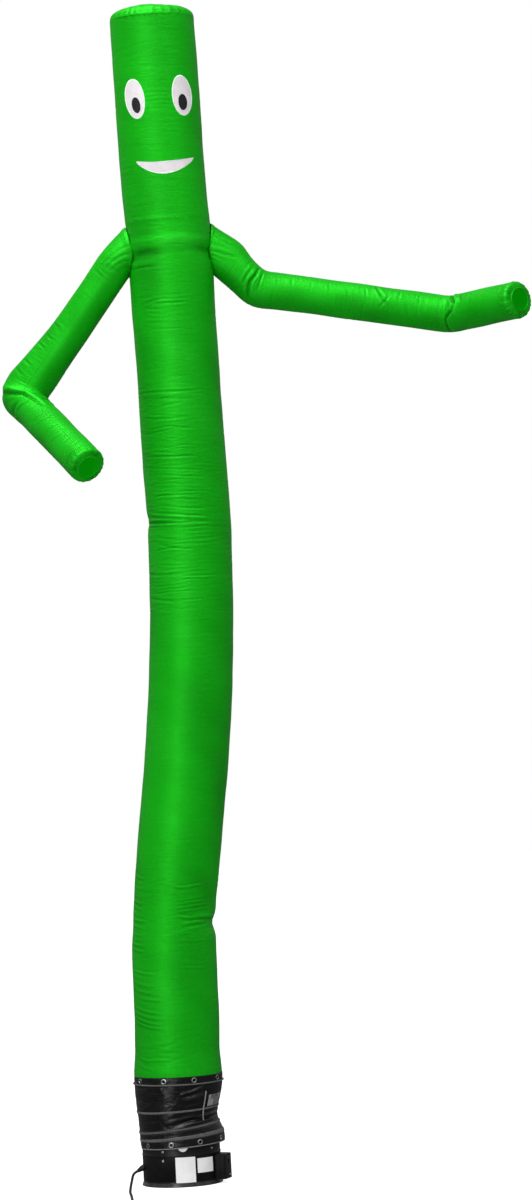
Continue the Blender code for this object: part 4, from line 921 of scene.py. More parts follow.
def patch(name, outline, rings, rim_in, low, look, slot, node, spokes=96):
    """A sewn patch from an outline u(k), v(k) seen from the front: a low crown, its rim stitched down."""
    t = np.arange(spokes) * TAU / spokes
    ox, oz = outline(t)
    cx, cz = ox.mean(), oz.mean()
    width = np.hypot(ox - cx, oz - cz)
    P, edge, along = [], [], []
    perimeter = np.concatenate([[0], np.cumsum(np.hypot(np.diff(ox), np.diff(oz)))])
    shares = np.concatenate([np.linspace(0.0, 1.0 - rim_in, rings), np.linspace(1.0 - rim_in, 1.0, 5)[1:]])
    shares[0] = 0.002
    for s in shares:
        x, z = cx + (ox - cx) * s, cz + (oz - cz) * s
        inner = (1 - s) * width
        rise = low + 0.0007 * step(inner, 0.0, 0.0012) + 0.0009 * np.exp(-(((inner - 0.0028) / 0.0018) ** 2))
        P.append(on_head(x, z, rise))
        edge.append(inner)
        along.append(perimeter)
    skirt = on_head(ox, oz, 0.0004 * np.ones_like(ox))
    P.append(skirt); edge.append(0 * width); along.append(perimeter)
    P, edge, along = np.array(P), np.array(edge), np.array(along)
    P = P[:, ::-1]
    o = grid(name, P, np.arange(spokes + 1) * perimeter[-1] / spokes, np.arange(len(P)).reshape(-1, 1) * 0.01, look=look, slot=slot, replaces=[node])
    mesh = o.data
    for key, values in (("edge", edge[:, ::-1]), ("along", along[:, ::-1])):
        a = mesh.attributes.new(key, "FLOAT", "POINT")
        a.data.foreach_set("value", values.reshape(-1)[: len(mesh.vertices)].astype(np.float32))
    bm = bmesh.new()
    bm.from_mesh(mesh)
    first = [e for e in bm.edges if e.is_boundary and all((v.co - Vector(P[0].mean(0))).length < 0.004 for v in e.verts)]
    bmesh.ops.holes_fill(bm, edges=first, sides=0)
    bmesh.ops.recalc_face_normals(bm, faces=bm.faces)
    if sum(f.normal.y for f in bm.faces) > 0:
        bmesh.ops.reverse_faces(bm, faces=bm.faces)
    bm.to_mesh(mesh)
    bm.free()
    mesh.shade_smooth()
    return o


WHITE = applique("look_white_patch", (0.60, 0.57, 0.595), (0.68, 0.65, 0.675), (0.80, 0.96, 0.82))
BLACK_PATCH = applique("look_black_patch", (0.010, 0.009, 0.010), (0.020, 0.018, 0.020), (0.004, 0.004, 0.005))
EYES = [
    # name     x      z      half w  half h  lean  pupil dx  pupil dz  pupil lean
    ("left", 0.0375, 5.803, 0.0525, 0.1090, 7.0, 0.006, -0.034, 9.0),
    ("right", 0.2890, 5.812, 0.0520, 0.1090, 3.0, 0.002, -0.036, 1.0),
]


def oval(x, z, w, h, lean):
    def outline(t):
        u, v = w * np.cos(t), h * np.sin(t)
        return x + u * math.cos(lean) - v * math.sin(lean), z + u * math.sin(lean) + v * math.cos(lean)

    return outline


def smile(t):
    """The mouth's outline: the lower edge from corner to corner and back along the upper one."""
    s = np.where(t < math.pi, -np.cos(t), np.cos(t - math.pi))
    bow = 1 - s * s
    top = 5.472 + 0.005 * s - (0.016 - 0.003 * s) * bow
    low = 5.472 + 0.005 * s - 0.077 * bow**0.86
    z = np.where(t < math.pi, low - 0.003, top + 0.003)
    corner = np.exp(-(((1 - np.abs(s)) / 0.015) ** 2))
    z = z * (1 - corner) + (5.472 + 0.005 * s) * corner
    return 0.1810 + 0.1530 * s, z


face = []
for side, x, z, w, h, lean, px, pz, tip in EYES:
    white = patch("eye_patch_" + side, oval(x, z, w, h, math.radians(lean)), 10, 0.16, 0.0011, WHITE, "white_nylon", "eye_" + side)
    black = patch("pupil_patch_" + side, oval(x + px, z + pz, 0.0225, 0.0430, math.radians(tip)), 7, 0.24, 0.0024, BLACK_PATCH, "black_nylon", "pupil_" + side, 64)
    face += [(white, (2 * w, 2 * h)), (black, (0.045, 0.086))]
mouth = patch("mouth_patch", smile, 10, 0.16, 0.0011, WHITE, "white_nylon", "mouth", 128)


# ------------------------------------------------------------------ arms and hands
LEFT_ARM = [(-0.0700, 0.0138, 5.007, 0.0, 0.0), (-0.6531, 0.1500, 4.245, 0.110, 0.056), (-0.2950, -0.4200, 3.832, 0.0, 0.0)]
RIGHT_ARM = [
    (0.4046, 0.0433, 5.002, 0.0, 0.0), (0.6450, 0.0500, 4.780, 0.200, 0.012), (1.6735, 0.0150, 4.585, 0.130, 0.022), (2.0270, -0.3900, 4.609, 0.0, 0.0),
]
ARM_R, VENT_R, ARM_SIDES = 0.0990, 0.055, 88
ARM_GIRTH = TAU * ARM_R


def unit(q):
    return q / np.linalg.norm(q)


def centreline(rows, pitch, last):
    """Points and directions along an arm: straight runs joined by round turns, with side axes carried without twist."""
    pts = [np.array(r[:3]) for r in rows]
    P, D = [], []
    at = pts[0]
    for k in range(1, len(pts)):
        d0 = unit(pts[k] - pts[k - 1])
        if k < len(pts) - 1:
            d1 = unit(pts[k + 1] - pts[k])
            bend = math.acos(float(np.clip(d0 @ d1, -1, 1)))
            cut = rows[k][3] * math.tan(bend / 2)
            stop = pts[k] - d0 * cut
        else:
            stop = pts[k] - d0 * last
        run = float((stop - at) @ d0)
        n = max(1, round(run / pitch))
        for i in range(n):
            P.append(at + d0 * (run * i / n))
            D.append(d0)
        if k < len(pts) - 1:
            axis = unit(np.cross(d0, d1))
            centre = stop + np.cross(axis, d0) * rows[k][3]
            steps = max(2, math.ceil(bend * rows[k][3] / pitch))
            for i in range(steps):
                a = bend * i / steps
                spin = lambda w, a=a: w * math.cos(a) + np.cross(axis, w) * math.sin(a) + axis * (axis @ w) * (1 - math.cos(a))
                P.append(centre + spin(stop - centre))
                D.append(spin(d0))
            at = pts[k] + d1 * cut
        else:
            P.append(stop)
            D.append(d0)
    P, D = np.array(P), np.array(D)
    u = unit(np.cross((0, 0, 1), D[0]))
    U = []
    for d in D:
        u = unit(u - d * (u @ d))
        U.append(u)
    U = np.array(U)
    s = np.concatenate([[0], np.cumsum(np.linalg.norm(np.diff(P, axis=0), axis=1))])
    return P, D, U, np.cross(D, U), s


def cornered(P, rows):
    """Lets the cloth stand out to a corner on the outer side of each turn."""
    move = np.zeros(P.shape)
    for k in range(1, len(rows) - 1):
        a, b, c = (np.array(r[:3]) for r in rows[k - 1 : k + 2])
        way = unit(unit(b - a) - unit(c - b))
        near = np.linalg.norm(P - b - way * 0.060, axis=-1, keepdims=True) / 0.095
        move += way * rows[k][4] * np.exp(-(near**2))
    return P + move


# creases on the arms: places as (distance along, degrees round), depth, half width, overlap
ARM_CREASES = {
    "left": [
        ([(0.934, 108.0), (0.947, 76.0), (0.969, 40.0), (0.994, 8.0), (1.077, -4.0), (1.175, -16.0)], 0.0100, 0.0100, 0.0045),
        ([(1.014, 96.0), (1.019, 60.0), (1.029, 30.0)], 0.0050, 0.0080, 0.0),
        ([(1.039, 70.0), (1.059, 40.0), (1.079, 14.0)], 0.0044, 0.0075, 0.0),
        ([(1.089, -30.0), (1.089, -70.0), (1.069, -120.0)], 0.0080, 0.0120, 0.0),
        ([(0.909, -40.0), (0.934, -90.0), (0.969, -140.0)], 0.0040, 0.0090, 0.0),
        ([(0.520, 62.0), (0.523, 20.0)], 0.0024, 0.0060, 0.0), ([(0.590, 64.0), (0.600, 14.0)], 0.0022, 0.0060, 0.0),
        ([(0.655, 60.0), (0.663, 16.0)], 0.0026, 0.0060, 0.0), ([(0.775, 66.0), (0.782, 20.0)], 0.0030, 0.0070, 0.0),
        ([(0.835, 70.0), (0.850, 24.0)], 0.0026, 0.0070, 0.0), ([(1.209, 60.0), (1.234, 10.0)], 0.0024, 0.0060, 0.0),
        ([(1.269, 50.0), (1.291, -4.0)], 0.0026, 0.0060, 0.0), ([(1.359, 54.0), (1.379, 0.0)], 0.0026, 0.0060, 0.0),
        ([(1.449, 60.0), (1.469, 16.0)], 0.0022, 0.0060, 0.0), ([(1.529, -10.0), (1.541, 36.0)], 0.0022, 0.0060, 0.0),
        ([(1.179, -60.0), (1.209, -110.0)], 0.0030, 0.0070, 0.0), ([(1.589, -30.0), (1.604, 10.0)], 0.0018, 0.0060, 0.0),
    ],
    "right": [
        ([(0.262, 118.0), (0.276, 152.0), (0.276, 184.0), (0.309, 236.0)], 0.0080, 0.0090, 0.0030),
        ([(0.315, 128.0), (0.322, 160.0), (0.330, 196.0)], 0.0036, 0.0070, 0.0),
        ([(0.235, 140.0), (0.238, 176.0), (0.250, 206.0)], 0.0030, 0.0065, 0.0),
        ([(0.950, 112.0), (0.963, 130.0), (1.005, 170.0), (1.047, 198.0)], 0.0050, 0.0080, 0.0),
        ([(1.040, 148.0), (0.985, 196.0)], 0.0032, 0.0065, 0.0),
        ([(0.900, 138.0), (0.915, 178.0)], 0.0016, 0.0060, 0.0), ([(1.090, 126.0), (1.080, 172.0)], 0.0016, 0.0060, 0.0),
        ([(1.392, 84.0), (1.430, 122.0), (1.486, 160.0), (1.472, 186.0), (1.403, 210.0), (1.375, 274.0)], 0.0105, 0.0100, 0.0040),
        ([(1.500, 120.0), (1.540, 160.0)], 0.0036, 0.0070, 0.0), ([(1.430, 176.0), (1.400, 196.0)], 0.0034, 0.0070, 0.0),
        ([(1.350, 150.0), (1.360, 196.0)], 0.0026, 0.0065, 0.0), ([(1.300, 138.0), (1.306, 176.0)], 0.0013, 0.0060, 0.0),
        ([(0.420, 132.0), (0.428, 172.0)], 0.0013, 0.0060, 0.0), ([(0.500, 128.0), (0.505, 168.0)], 0.0013, 0.0060, 0.0),
        ([(0.610, 134.0), (0.606, 176.0)], 0.0013, 0.0060, 0.0), ([(0.700, 128.0), (0.706, 170.0)], 0.0013, 0.0060, 0.0),
        ([(0.800, 136.0), (0.812, 178.0)], 0.0014, 0.0060, 0.0), ([(1.190, 130.0), (1.196, 174.0)], 0.0014, 0.0060, 0.0),
        ([(1.600, 140.0), (1.610, 178.0)], 0.0012, 0.0060, 0.0), ([(1.690, 128.0), (1.700, 170.0)], 0.0012, 0.0060, 0.0),
    ],
}
# short tucks that run out from the arm's root seam: degrees round, swing, length, depth
ROOT_TUCKS = {
    "left": [(60.0, 8.0, 0.13, 0.0040), (34.0, 12.0, 0.15, 0.0044), (12.0, 16.0, 0.16, 0.0050), (-8.0, 18.0, 0.15, 0.0050), (-28.0, 16.0, 0.12, 0.0044),
             (-50.0, 10.0, 0.09, 0.0034), (96.0, 0.0, 0.10, 0.0030), (130.0, -6.0, 0.10, 0.0030), (170.0, -8.0, 0.11, 0.0034), (210.0, -6.0, 0.10, 0.0030),
             (250.0, 0.0, 0.08, 0.0026)],
    "right": [(196.0, -52.0, 0.17, 0.0055), (190.0, -34.0, 0.14, 0.0055), (200.0, -18.0, 0.12, 0.0048), (208.0, -6.0, 0.10, 0.0040), (172.0, -40.0, 0.16, 0.0036),
              (146.0, -16.0, 0.12, 0.0032), (120.0, -6.0, 0.10, 0.0030), (90.0, 0.0, 0.08, 0.0026), (60.0, 4.0, 0.10, 0.0030), (20.0, 6.0, 0.10, 0.0030),
              (-20.0, 4.0, 0.10, 0.0030), (230.0, 0.0, 0.08, 0.0030)],
}


def arm_folds(side, A, S, end):
    out = np.zeros(A.shape)
    for line, depth, width, lift in ARM_CREASES[side]:
        degs = np.array([p[1] for p in line])
        mid = math.radians((degs.min() + degs.max()) / 2)
        around = turn(A - mid) * ARM_R
        pts = [((math.radians(p[1]) - mid) * ARM_R, p[0]) for p in line]
        low, high = min(p[1] for p in pts), max(p[1] for p in pts)
        near = (S > low - 0.07) & (S < high + 0.07)
        out[near] += crease(around[near], S[near], pts, depth, width, 0.45, lift)
    for deg, swing, length, depth in ROOT_TUCKS[side]:
        reach = np.clip(S / length, 0, 1)
        da = turn(A - math.radians(deg) - math.radians(swing) * reach) * ARM_R
        wide = 0.0044 + 0.0034 * reach
        depth = depth * 0.72
        fade = np.clip(1 - S / length, 0, 1) ** 0.8 * step(S, 0.0, 0.012)
        q = da / wide
        out -= depth * fade * (np.exp(-(q**2)) - 0.5 * np.exp(-(((np.abs(q) - 1.9) / 0.9) ** 2)))
    around = (A % TAU) * ARM_R
    seed = 31 if side == "left" else 41
    out += fine_folds(around, S, ARM_GIRTH, seed, 190, 0.12, end - 0.02, (0.03, 0.10), (0.0004, 0.0011), (0.0038, 0.0060), 0.10)
    out += fine_folds(around, S, ARM_GIRTH, seed + 1, 40, 0.05, end - 0.02, (0.05, 0.14), (0.0005, 0.0012), (0.0070, 0.0110), 0.20)
    tail = np.exp(-(((S - end) / 0.020) ** 2))
    out += tail * (0.0011 * np.sin(21 * A + 1.5 * np.sin(3 * A)) + 0.0010 * np.sin(34 * A + 2.0 * np.sin(2 * A) + 1.0) - 0.0010)
    out -= 0.0026 * np.exp(-(((S - end + 0.030 + 0.004 * np.sin(2 * A)) / 0.0055) ** 2)) * (0.75 + 0.25 * np.sin(9 * A + 2 * np.sin(4 * A)))
    out += 0.0012 * np.sin(3 * A + 9.0 * S) * np.cos(14.0 * S + 1.0) + 0.0008 * np.sin(2 * A - 17.0 * S)
    return out


def merge(o, extra, look):
    """Puts another mesh into a piece, under its own material."""
    o.data.materials.append(look)
    extra.data.polygons.foreach_set("material_index", np.ones(len(extra.data.polygons), np.int32))
    extra.data.update()
    bm = bmesh.new()
    bm.from_mesh(o.data)
    bm.from_mesh(extra.data)
    bm.to_mesh(o.data)
    bm.free()
    used = extra.data
    bpy.data.objects.remove(extra)
    bpy.data.meshes.remove(used)
    o.data.shade_smooth()


INSIDE = inside_cloth()


def arm(side, rows, deg):
    C, D, U, V, s = centreline(rows, 0.0052, 0.0400)
    end = s[-1]
    a = np.arange(ARM_SIDES) * TAU / ARM_SIDES
    A, S = np.meshgrid(a, s)
    out = arm_folds(side, A, S, end)
    rad = ARM_R + out
    ring = C[:, None] + rad[..., None] * (U[:, None] * np.cos(A)[..., None] + V[:, None] * np.sin(A)[..., None])
    # the root is sewn to the trunk round an oval
    oval_a = math.radians(deg) + math.radians(25.0) * np.cos(a)
    oval_z = ARM_Z + 0.139 * np.sin(a)
    root = tube(oval_a, oval_z, 0.0030 + 0.0 * a)
    normal = unit(np.array([math.cos(math.radians(deg)), math.sin(math.radians(deg)), 0.0]))
    t = np.clip(S / (0.105 if side == "left" else 0.120), 0, 1)[..., None]
    w = 1 - (1 - t) ** 2.2
    lean = out[..., None] * (1 - w) * (U[:, None] * np.cos(A)[..., None] + V[:, None] * np.sin(A)[..., None])
    P = root[None] * (1 - w) + ring * w + lean
    # where the tube is folded or pulled it lies broader on one side
    way, middle, near, far, most = {"left": ((-0.794, 0.0, 0.607), 0.950, 0.54, 0.050, 0.060), "right": ((0.680, 0.0, 0.733), 0.095, 0.065, 0.085, 0.026)}[side]
    lobe = np.clip((U[:, None] * np.cos(A)[..., None] + V[:, None] * np.sin(A)[..., None]) @ np.array(way), 0, 1) ** 1.4
    rise = np.clip(1 - (middle - S) / near, 0, 1) ** 1.5 if side == "left" else np.exp(-(((S - middle) / near) ** 2))
    reach = np.where(S < middle, rise, np.exp(-(((S - middle) / far) ** 2)))
    P = P + (most * lobe * reach)[..., None] * np.array(way)
    P = cornered(P, rows)
    # a narrow lapped hem at the root, standing a little proud of the trunk
    hem = np.exp(-(((S - 0.007) / 0.0045) ** 2))[..., None] * 0.0036
    P = P + hem * (P - (root.mean(0) - normal * 0.10)) / np.linalg.norm(P - (root.mean(0) - normal * 0.10), axis=-1, keepdims=True)
    look = nylon("look_arm_" + side, [(0.0090, 0.0040), (0.0150, 0.0040), (end - 0.0240, 0.0040)], [(0.0030, 0.0042)])
    o = grid(
        f"arm_cloth_{side}", P, np.arange(ARM_SIDES + 1) * ARM_GIRTH / ARM_SIDES, S[:, :1], fold=out / 0.0045,
        look=look, slot="green_nylon", replaces=["arm_" + side],
    )
    # the hand: a gathered disc sewn to the arm's end, with a hemmed vent in its middle
    p, d, u, v = C[-1], D[-1], U[-1], V[-1]
    profile = np.array([
        # radius  beyond
        (0.0990, -0.0030), (0.0998, 0.0010), (0.0996, 0.0060), (0.0990, 0.0115), (0.0976, 0.0170), (0.0952, 0.0215), (0.0918, 0.0250), (0.0872, 0.0276),
        (0.0815, 0.0294), (0.0755, 0.0306), (0.0700, 0.0315), (0.0655, 0.0322), (0.0630, 0.0328), (0.0618, 0.0358), (0.0598, 0.0368), (0.0580, 0.0352),
        (0.0578, 0.0322), (0.0590, 0.0312),
    ])
    B = np.broadcast_to(a, (len(profile), ARM_SIDES))
    r, h = profile[:, :1], profile[:, 1:]
    gather = np.exp(-(((r - 0.096) / 0.010) ** 2)) * (h > 0.0)
    wave = np.sin(19 * B + 1.8 * np.sin(3 * B)) + 0.7 * np.sin(31 * B + 1.2 * np.sin(4 * B) + 2.0)
    lift = 0.0011 * gather * wave
    soft = 0.0014 * np.sin(3 * B + (1.0 if side == "left" else 2.6)) * step(0.0985 - r, 0.0, 0.02) * step(r, 0.060, 0.070)
    pull = 0.0008 * np.sin(13 * B + 1.5 * np.sin(2 * B)) * np.exp(-(((r - 0.079) / 0.009) ** 2))
    rr = r + lift * 0.8
    hh = h + lift * 0.8 + soft + pull
    Q = p + rr[..., None] * (u * np.cos(B)[..., None] + v * np.sin(B)[..., None]) + hh[..., None] * d
    run = np.concatenate([[0], np.cumsum(np.hypot(np.diff(profile[:, 0]), np.diff(profile[:, 1])))])
    hand = grid(
        f"hand_cloth_{side}", Q, np.arange(ARM_SIDES + 1) * ARM_GIRTH / ARM_SIDES, run.reshape(-1, 1), fold=(lift + pull + soft) / 0.0022,
        look=nylon("look_hand_" + side, [(0.0100, 0.0040), (run[12], 0.0036)]), slot="green_nylon", replaces=["hand_" + side],
    )
    # the cloth's inner face, seen where the vent lets one look in: a painted glow stands in for the daylight that comes
    # through the nylon
    back = s[s > end - 0.30]
    A2, S2 = np.meshgrid(a, back[::-1])
    first = len(s) - len(back)
    shell = ARM_R - 0.0035 + arm_folds(side, A2, S2, end) * 0.9
    C2, U2, V2 = C[first:][::-1], U[first:][::-1], V[first:][::-1]
    inside = C2[:, None] + shell[..., None] * (U2[:, None] * np.cos(A2)[..., None] + V2[:, None] * np.sin(A2)[..., None])
    deep = C2[-1] + (inside[-1] - C2[-1]) * np.array([0.8, 0.6, 0.4, 0.2, 0.02])[:, None, None]
    inside = np.concatenate([inside, deep], 0)
    run2 = np.arange(len(inside)) * 0.005
    lining = grid(f"lining_{side}", inside, np.arange(ARM_SIDES + 1) * ARM_GIRTH / ARM_SIDES, run2.reshape(-1, 1), fold=np.zeros(inside.shape[:2]))
    merge(o, lining, INSIDE)
    return o, hand


arm("left", LEFT_ARM, LEFT_ARM_DEG)
arm("right", RIGHT_ARM, RIGHT_ARM_DEG)

# ------------------------------------------------------------------ vinyl sleeve and its bands
SLEEVE = np.array([
    # z     left     right
    (0.200, -0.2120, 0.2330), (0.235, -0.2160, 0.2370), (0.265, -0.2180, 0.2350), (0.300, -0.2195, 0.2240), (0.330, -0.2205, 0.2110),
    (0.360, -0.2220, 0.2030), (0.400, -0.2270, 0.2080), (0.450, -0.2300, 0.2210), (0.500, -0.2330, 0.2330), (0.550, -0.2335, 0.2395), (0.590, -0.2330, 0.2410),
])
SLEEVE_GIRTH = 1.43


def sleeve_at(angle, z0, off=0.0):
    tilt = 0.011 + 0.013 * np.exp(-(((z0 - 0.300) / 0.050) ** 2)) - 0.011 * np.clip((z0 - 0.36) / 0.18, 0, 1)
    z = z0 + tilt * np.cos(angle)
    left, right = smooth(SLEEVE, 1, z), smooth(SLEEVE, 2, z)
    rx, x = (right - left) / 2, (right + left) / 2
    k = np.clip((z - 0.30) / 0.28, 0, 1)
    ry = 0.2235 + (0.2360 - 0.2235) * k * k * (3 - 2 * k)
    da, dz = turn(angle - math.radians(-82)), z - 0.352
    dent = 0.007 * np.exp(-((da / 0.30) ** 2) - (((dz - 0.05 * da) / 0.020) ** 2))
    return np.stack([x + (rx - dent + off) * np.cos(angle), (ry - dent + off) * np.sin(angle), z], -1)


# folds of the stiff vinyl: ends as (degrees, height), depth, half width; less than 0 stands out
SLEEVE_FOLDS = [
    ([(-88.0, 0.489), (-70.0, 0.505), (-52.0, 0.528)], -0.0055, 0.0080), ([(-86.0, 0.474), (-68.0, 0.488), (-50.0, 0.508)], 0.0048, 0.0090),
    ([(-78.0, 0.455), (-60.0, 0.470), (-46.0, 0.480)], -0.0032, 0.0080), ([(-84.0, 0.430), (-66.0, 0.440), (-50.0, 0.455)], 0.0028, 0.0090),
    ([(-100.0, 0.328), (-82.0, 0.338), (-60.0, 0.354)], 0.0060, 0.0110), ([(-104.0, 0.346), (-84.0, 0.358), (-58.0, 0.372)], -0.0046, 0.0090),
    ([(-80.0, 0.326), (-60.0, 0.330), (-30.0, 0.334)], -0.0060, 0.0080), ([(-70.0, 0.342), (-44.0, 0.346), (-14.0, 0.350)], 0.0055, 0.0080),
    ([(-62.0, 0.358), (-36.0, 0.362), (-8.0, 0.366)], -0.0048, 0.0080), ([(-56.0, 0.376), (-32.0, 0.380), (-6.0, 0.384)], 0.0036, 0.0080),
    ([(-150.0, 0.372), (-130.0, 0.365), (-112.0, 0.368)], 0.0020, 0.0120), ([(-158.0, 0.470), (-134.0, 0.462), (-116.0, 0.468)], 0.0018, 0.0140),
    ([(-116.0, 0.540), (-108.0, 0.500), (-104.0, 0.450)], -0.0022, 0.0140), ([(20.0, 0.350), (50.0, 0.362), (84.0, 0.352)], 0.0050, 0.0100),
    ([(30.0, 0.372), (62.0, 0.380), (96.0, 0.374)], -0.0040, 0.0090), ([(104.0, 0.336), (136.0, 0.348), (168.0, 0.340)], 0.0042, 0.0100),
    ([(60.0, 0.470), (86.0, 0.500), (108.0, 0.520)], 0.0030, 0.0110), ([(132.0, 0.520), (150.0, 0.480), (162.0, 0.440)], 0.0026, 0.0120),
    ([(10.0, 0.440), (26.0, 0.470), (40.0, 0.510)], 0.0028, 0.0110),
]


def sleeve_folds(A, Z):
    out = np.zeros(A.shape)
    for line, depth, width in SLEEVE_FOLDS:
        degs = np.array([p[0] for p in line])
        mid = math.radians((degs.min() + degs.max()) / 2)
        around = turn(A - mid) * 0.228
        pts = [((math.radians(p[0]) - mid) * 0.228, p[1]) for p in line]
        out += crease(around, Z, pts, depth, width, 0.25)
    around = ((A - math.pi / 2) % TAU) * SLEEVE_GIRTH / TAU
    out += fine_folds(around, Z, SLEEVE_GIRTH, 51, 90, 0.27, 0.54, (0.03, 0.10), (0.0004, 0.0013), (0.0050, 0.0090), 0.30)
    # the vinyl is held flat along its sewn bands
    hold = step(Z, 0.2523, 0.262) * (1 - step(Z, 0.5340, 0.5440))
    for low, high in ((0.2505, 0.2720), (0.2980, 0.3130), (0.3940, 0.4090)):
        hold = hold * (1 - 0.80 * step(Z, low - 0.008, low) * (1 - step(Z, high, high + 0.008)))
    return out * hold


def sleeve_cloth():
    angles = np.arange(144) * TAU / 144 + math.pi / 2
    heights = rows_between(0.2523, 0.5447, lambda z: 0.0034)
    A, Z = np.meshgrid(angles, heights)
    folds = sleeve_folds(A, Z)
    o = grid(
        "sleeve_cloth", sleeve_at(A, Z, folds), np.arange(145) * SLEEVE_GIRTH / 144, heights.reshape(-1, 1), fold=folds / 0.0060,
        look=vinyl("look_sleeve", [(0.2560, 0.004), (0.5405, 0.004), (0.2945, 0.004), (0.3155, 0.004)]), slot="black_vinyl", replaces=["sleeve"],
    )
    thicken(o, 0.0016, -1.0)
    return o


def side_panel():
    """A small grey panel sewn to the side, beside the rolled cord."""
    c, z = np.linspace(20.62, 22.40, 17), np.linspace(0.4120, 0.4760, 11)
    C, Z = np.meshgrid(c, z)
    A = column_angle(C)
    P = sleeve_at(A, Z, sleeve_folds(A, Z) + 0.0026 + 0.0006 * np.sin(3.1 * C + 40 * Z))
    o = grid("side_panel", P, (c - c[0]) * 0.06, z.reshape(-1, 1), wrap=False, look=plastic("look_side_panel", (0.050, 0.050, 0.051), (0.44, 0.44, 0.45), 0.38, 95.0),
             slot="bare_label", replaces=["side_patch"])
    thicken(o, 0.0010, -1.0)
    return o


def soft_band(name, node, low, high, look, slot, crown=0.0007, rows=7, thick=0.0014):
    angles = np.arange(144) * TAU / 144 + math.pi / 2
    t = np.linspace(0, 1, rows)
    heights = low + (high - low) * t
    A, Z = np.meshgrid(angles, heights)
    folds = sleeve_folds(A, Z) + crown * np.sin(np.pi * t)[:, None] + 0.0005 * np.sin(9 * A + 2 * np.sin(3 * A))
    o = grid(name, sleeve_at(A, Z, folds + 0.0019), np.arange(145) * SLEEVE_GIRTH / 144, heights.reshape(-1, 1), fold=folds / 0.0050, look=look, slot=slot, replaces=[node])
    thicken(o, thick, -1.0)
    return o


def eyelet_band(name, node, low, high, first, count, look):
    """The strip with open eyelets."""
    columns = count * 32
    angles = math.radians(first) + np.arange(columns) * TAU / columns
    t = np.linspace(0, 1, 15)
    heights = low + (high - low) * t
    A, Z = np.meshgrid(angles, heights)
    mid = {"collar": 0.5650, "hem": 0.2300}[node.split("_")[0]]
    keep = np.ones((len(heights) - 1, columns), bool)
    for e in range(count):
        a0 = math.degrees(math.radians(first) + TAU * e / count)
        A, Z, gone = hole_rim(A, Z, a0, math.degrees(0.0112 / 0.229), 0.0112, mid)
        keep &= ~gone
    puff = 0.0010 * np.sin(np.pi * np.clip((Z - low) / (high - low), 0, 1)) ** 0.5
    wave = 0.0008 * np.sin(11 * A + 2 * np.sin(4 * A)) * np.sin(np.pi * np.clip((Z - low) / (high - low), 0, 1))
    o = grid(name, sleeve_at(A, Z, puff * 0.0 + wave), np.arange(columns + 1) * SLEEVE_GIRTH / columns, heights.reshape(-1, 1), fold=wave / 0.002, keep=keep,
             look=look, slot="black_vinyl", replaces=[node])
    thicken(o, 0.0016, -1.0)
    if node == "hem_band":
        # its low edge is bound with a narrow tape
        tape = np.linspace(low - 0.0004, low + 0.0052, 5)
        A3, Z3 = np.meshgrid(np.arange(144) * TAU / 144, tape)
        edge = grid("hem_edge", sleeve_at(A3, Z3, 0.0010 + 0.0010 * np.sin(np.pi * (Z3 - tape[0]) / (tape[-1] - tape[0]))), np.arange(145) * SLEEVE_GIRTH / 144, tape.reshape(-1, 1), fold=np.zeros(A3.shape))
        thicken(edge, 0.0010, -1.0)
        merge(o, edge, webbing("look_edge", 0.0014, 0.130, 0.190))
    for e in range(count):
        a0 = math.radians(first) + TAU * e / count
        at = sleeve_at(np.array(a0), np.array(mid), -0.0008)
        along = sleeve_at(np.array(a0 + 0.05), np.array(mid)) - sleeve_at(np.array(a0 - 0.05), np.array(mid))
        up = sleeve_at(np.array(a0), np.array(mid + 0.014)) - sleeve_at(np.array(a0), np.array(mid - 0.014))
        out = np.cross(along, up)
        ring = [(0.0080, -0.0020), (0.0080, 0.0020), (0.0084, 0.0029), (0.0092, 0.0034), (0.0104, 0.0036), (0.0120, 0.0034), (0.0135, 0.0030),
                (0.0144, 0.0025), (0.0146, 0.0021), (0.0142, 0.0018), (0.0094, 0.0018), (0.0092, 0.0012), (0.0092, -0.0016), (0.0100, -0.0020)]
        lathe(f"{node}_eyelet_{e + 1}", ring, 28, facing(Vector(at), Vector(out)), look=STEEL, slot="grommet_steel", replaces=[f"{node}_ring_{e + 1}"])
    return o


sleeve_piece = sleeve_cloth()
soft_band("webbing_strap", "webbing_band", 0.2523, 0.2700, WEB, "black_webbing", 0.0009, 9)
soft_band("lower_binding_tape", "lower_binding", 0.3000, 0.3110, webbing("look_binding", 0.0014, 0.055, 0.090), "black_webbing", 0.0016, 9)
soft_band("middle_binding_tape", "middle_binding", 0.3960, 0.4070, webbing("look_binding_b", 0.0014, 0.070, 0.110), "black_webbing", 0.0016, 9)
eyelet_band("collar_band_cloth", "collar_band", 0.5450, 0.5852, 212.0, 9, vinyl("look_collar", [(0.5482, 0.004), (0.5822, 0.004)]))
eyelet_band("hem_band_cloth", "hem_band", 0.2080, 0.2520, 215.5, 9, vinyl("look_hem", [(0.2112, 0.004), (0.2490, 0.004)]))


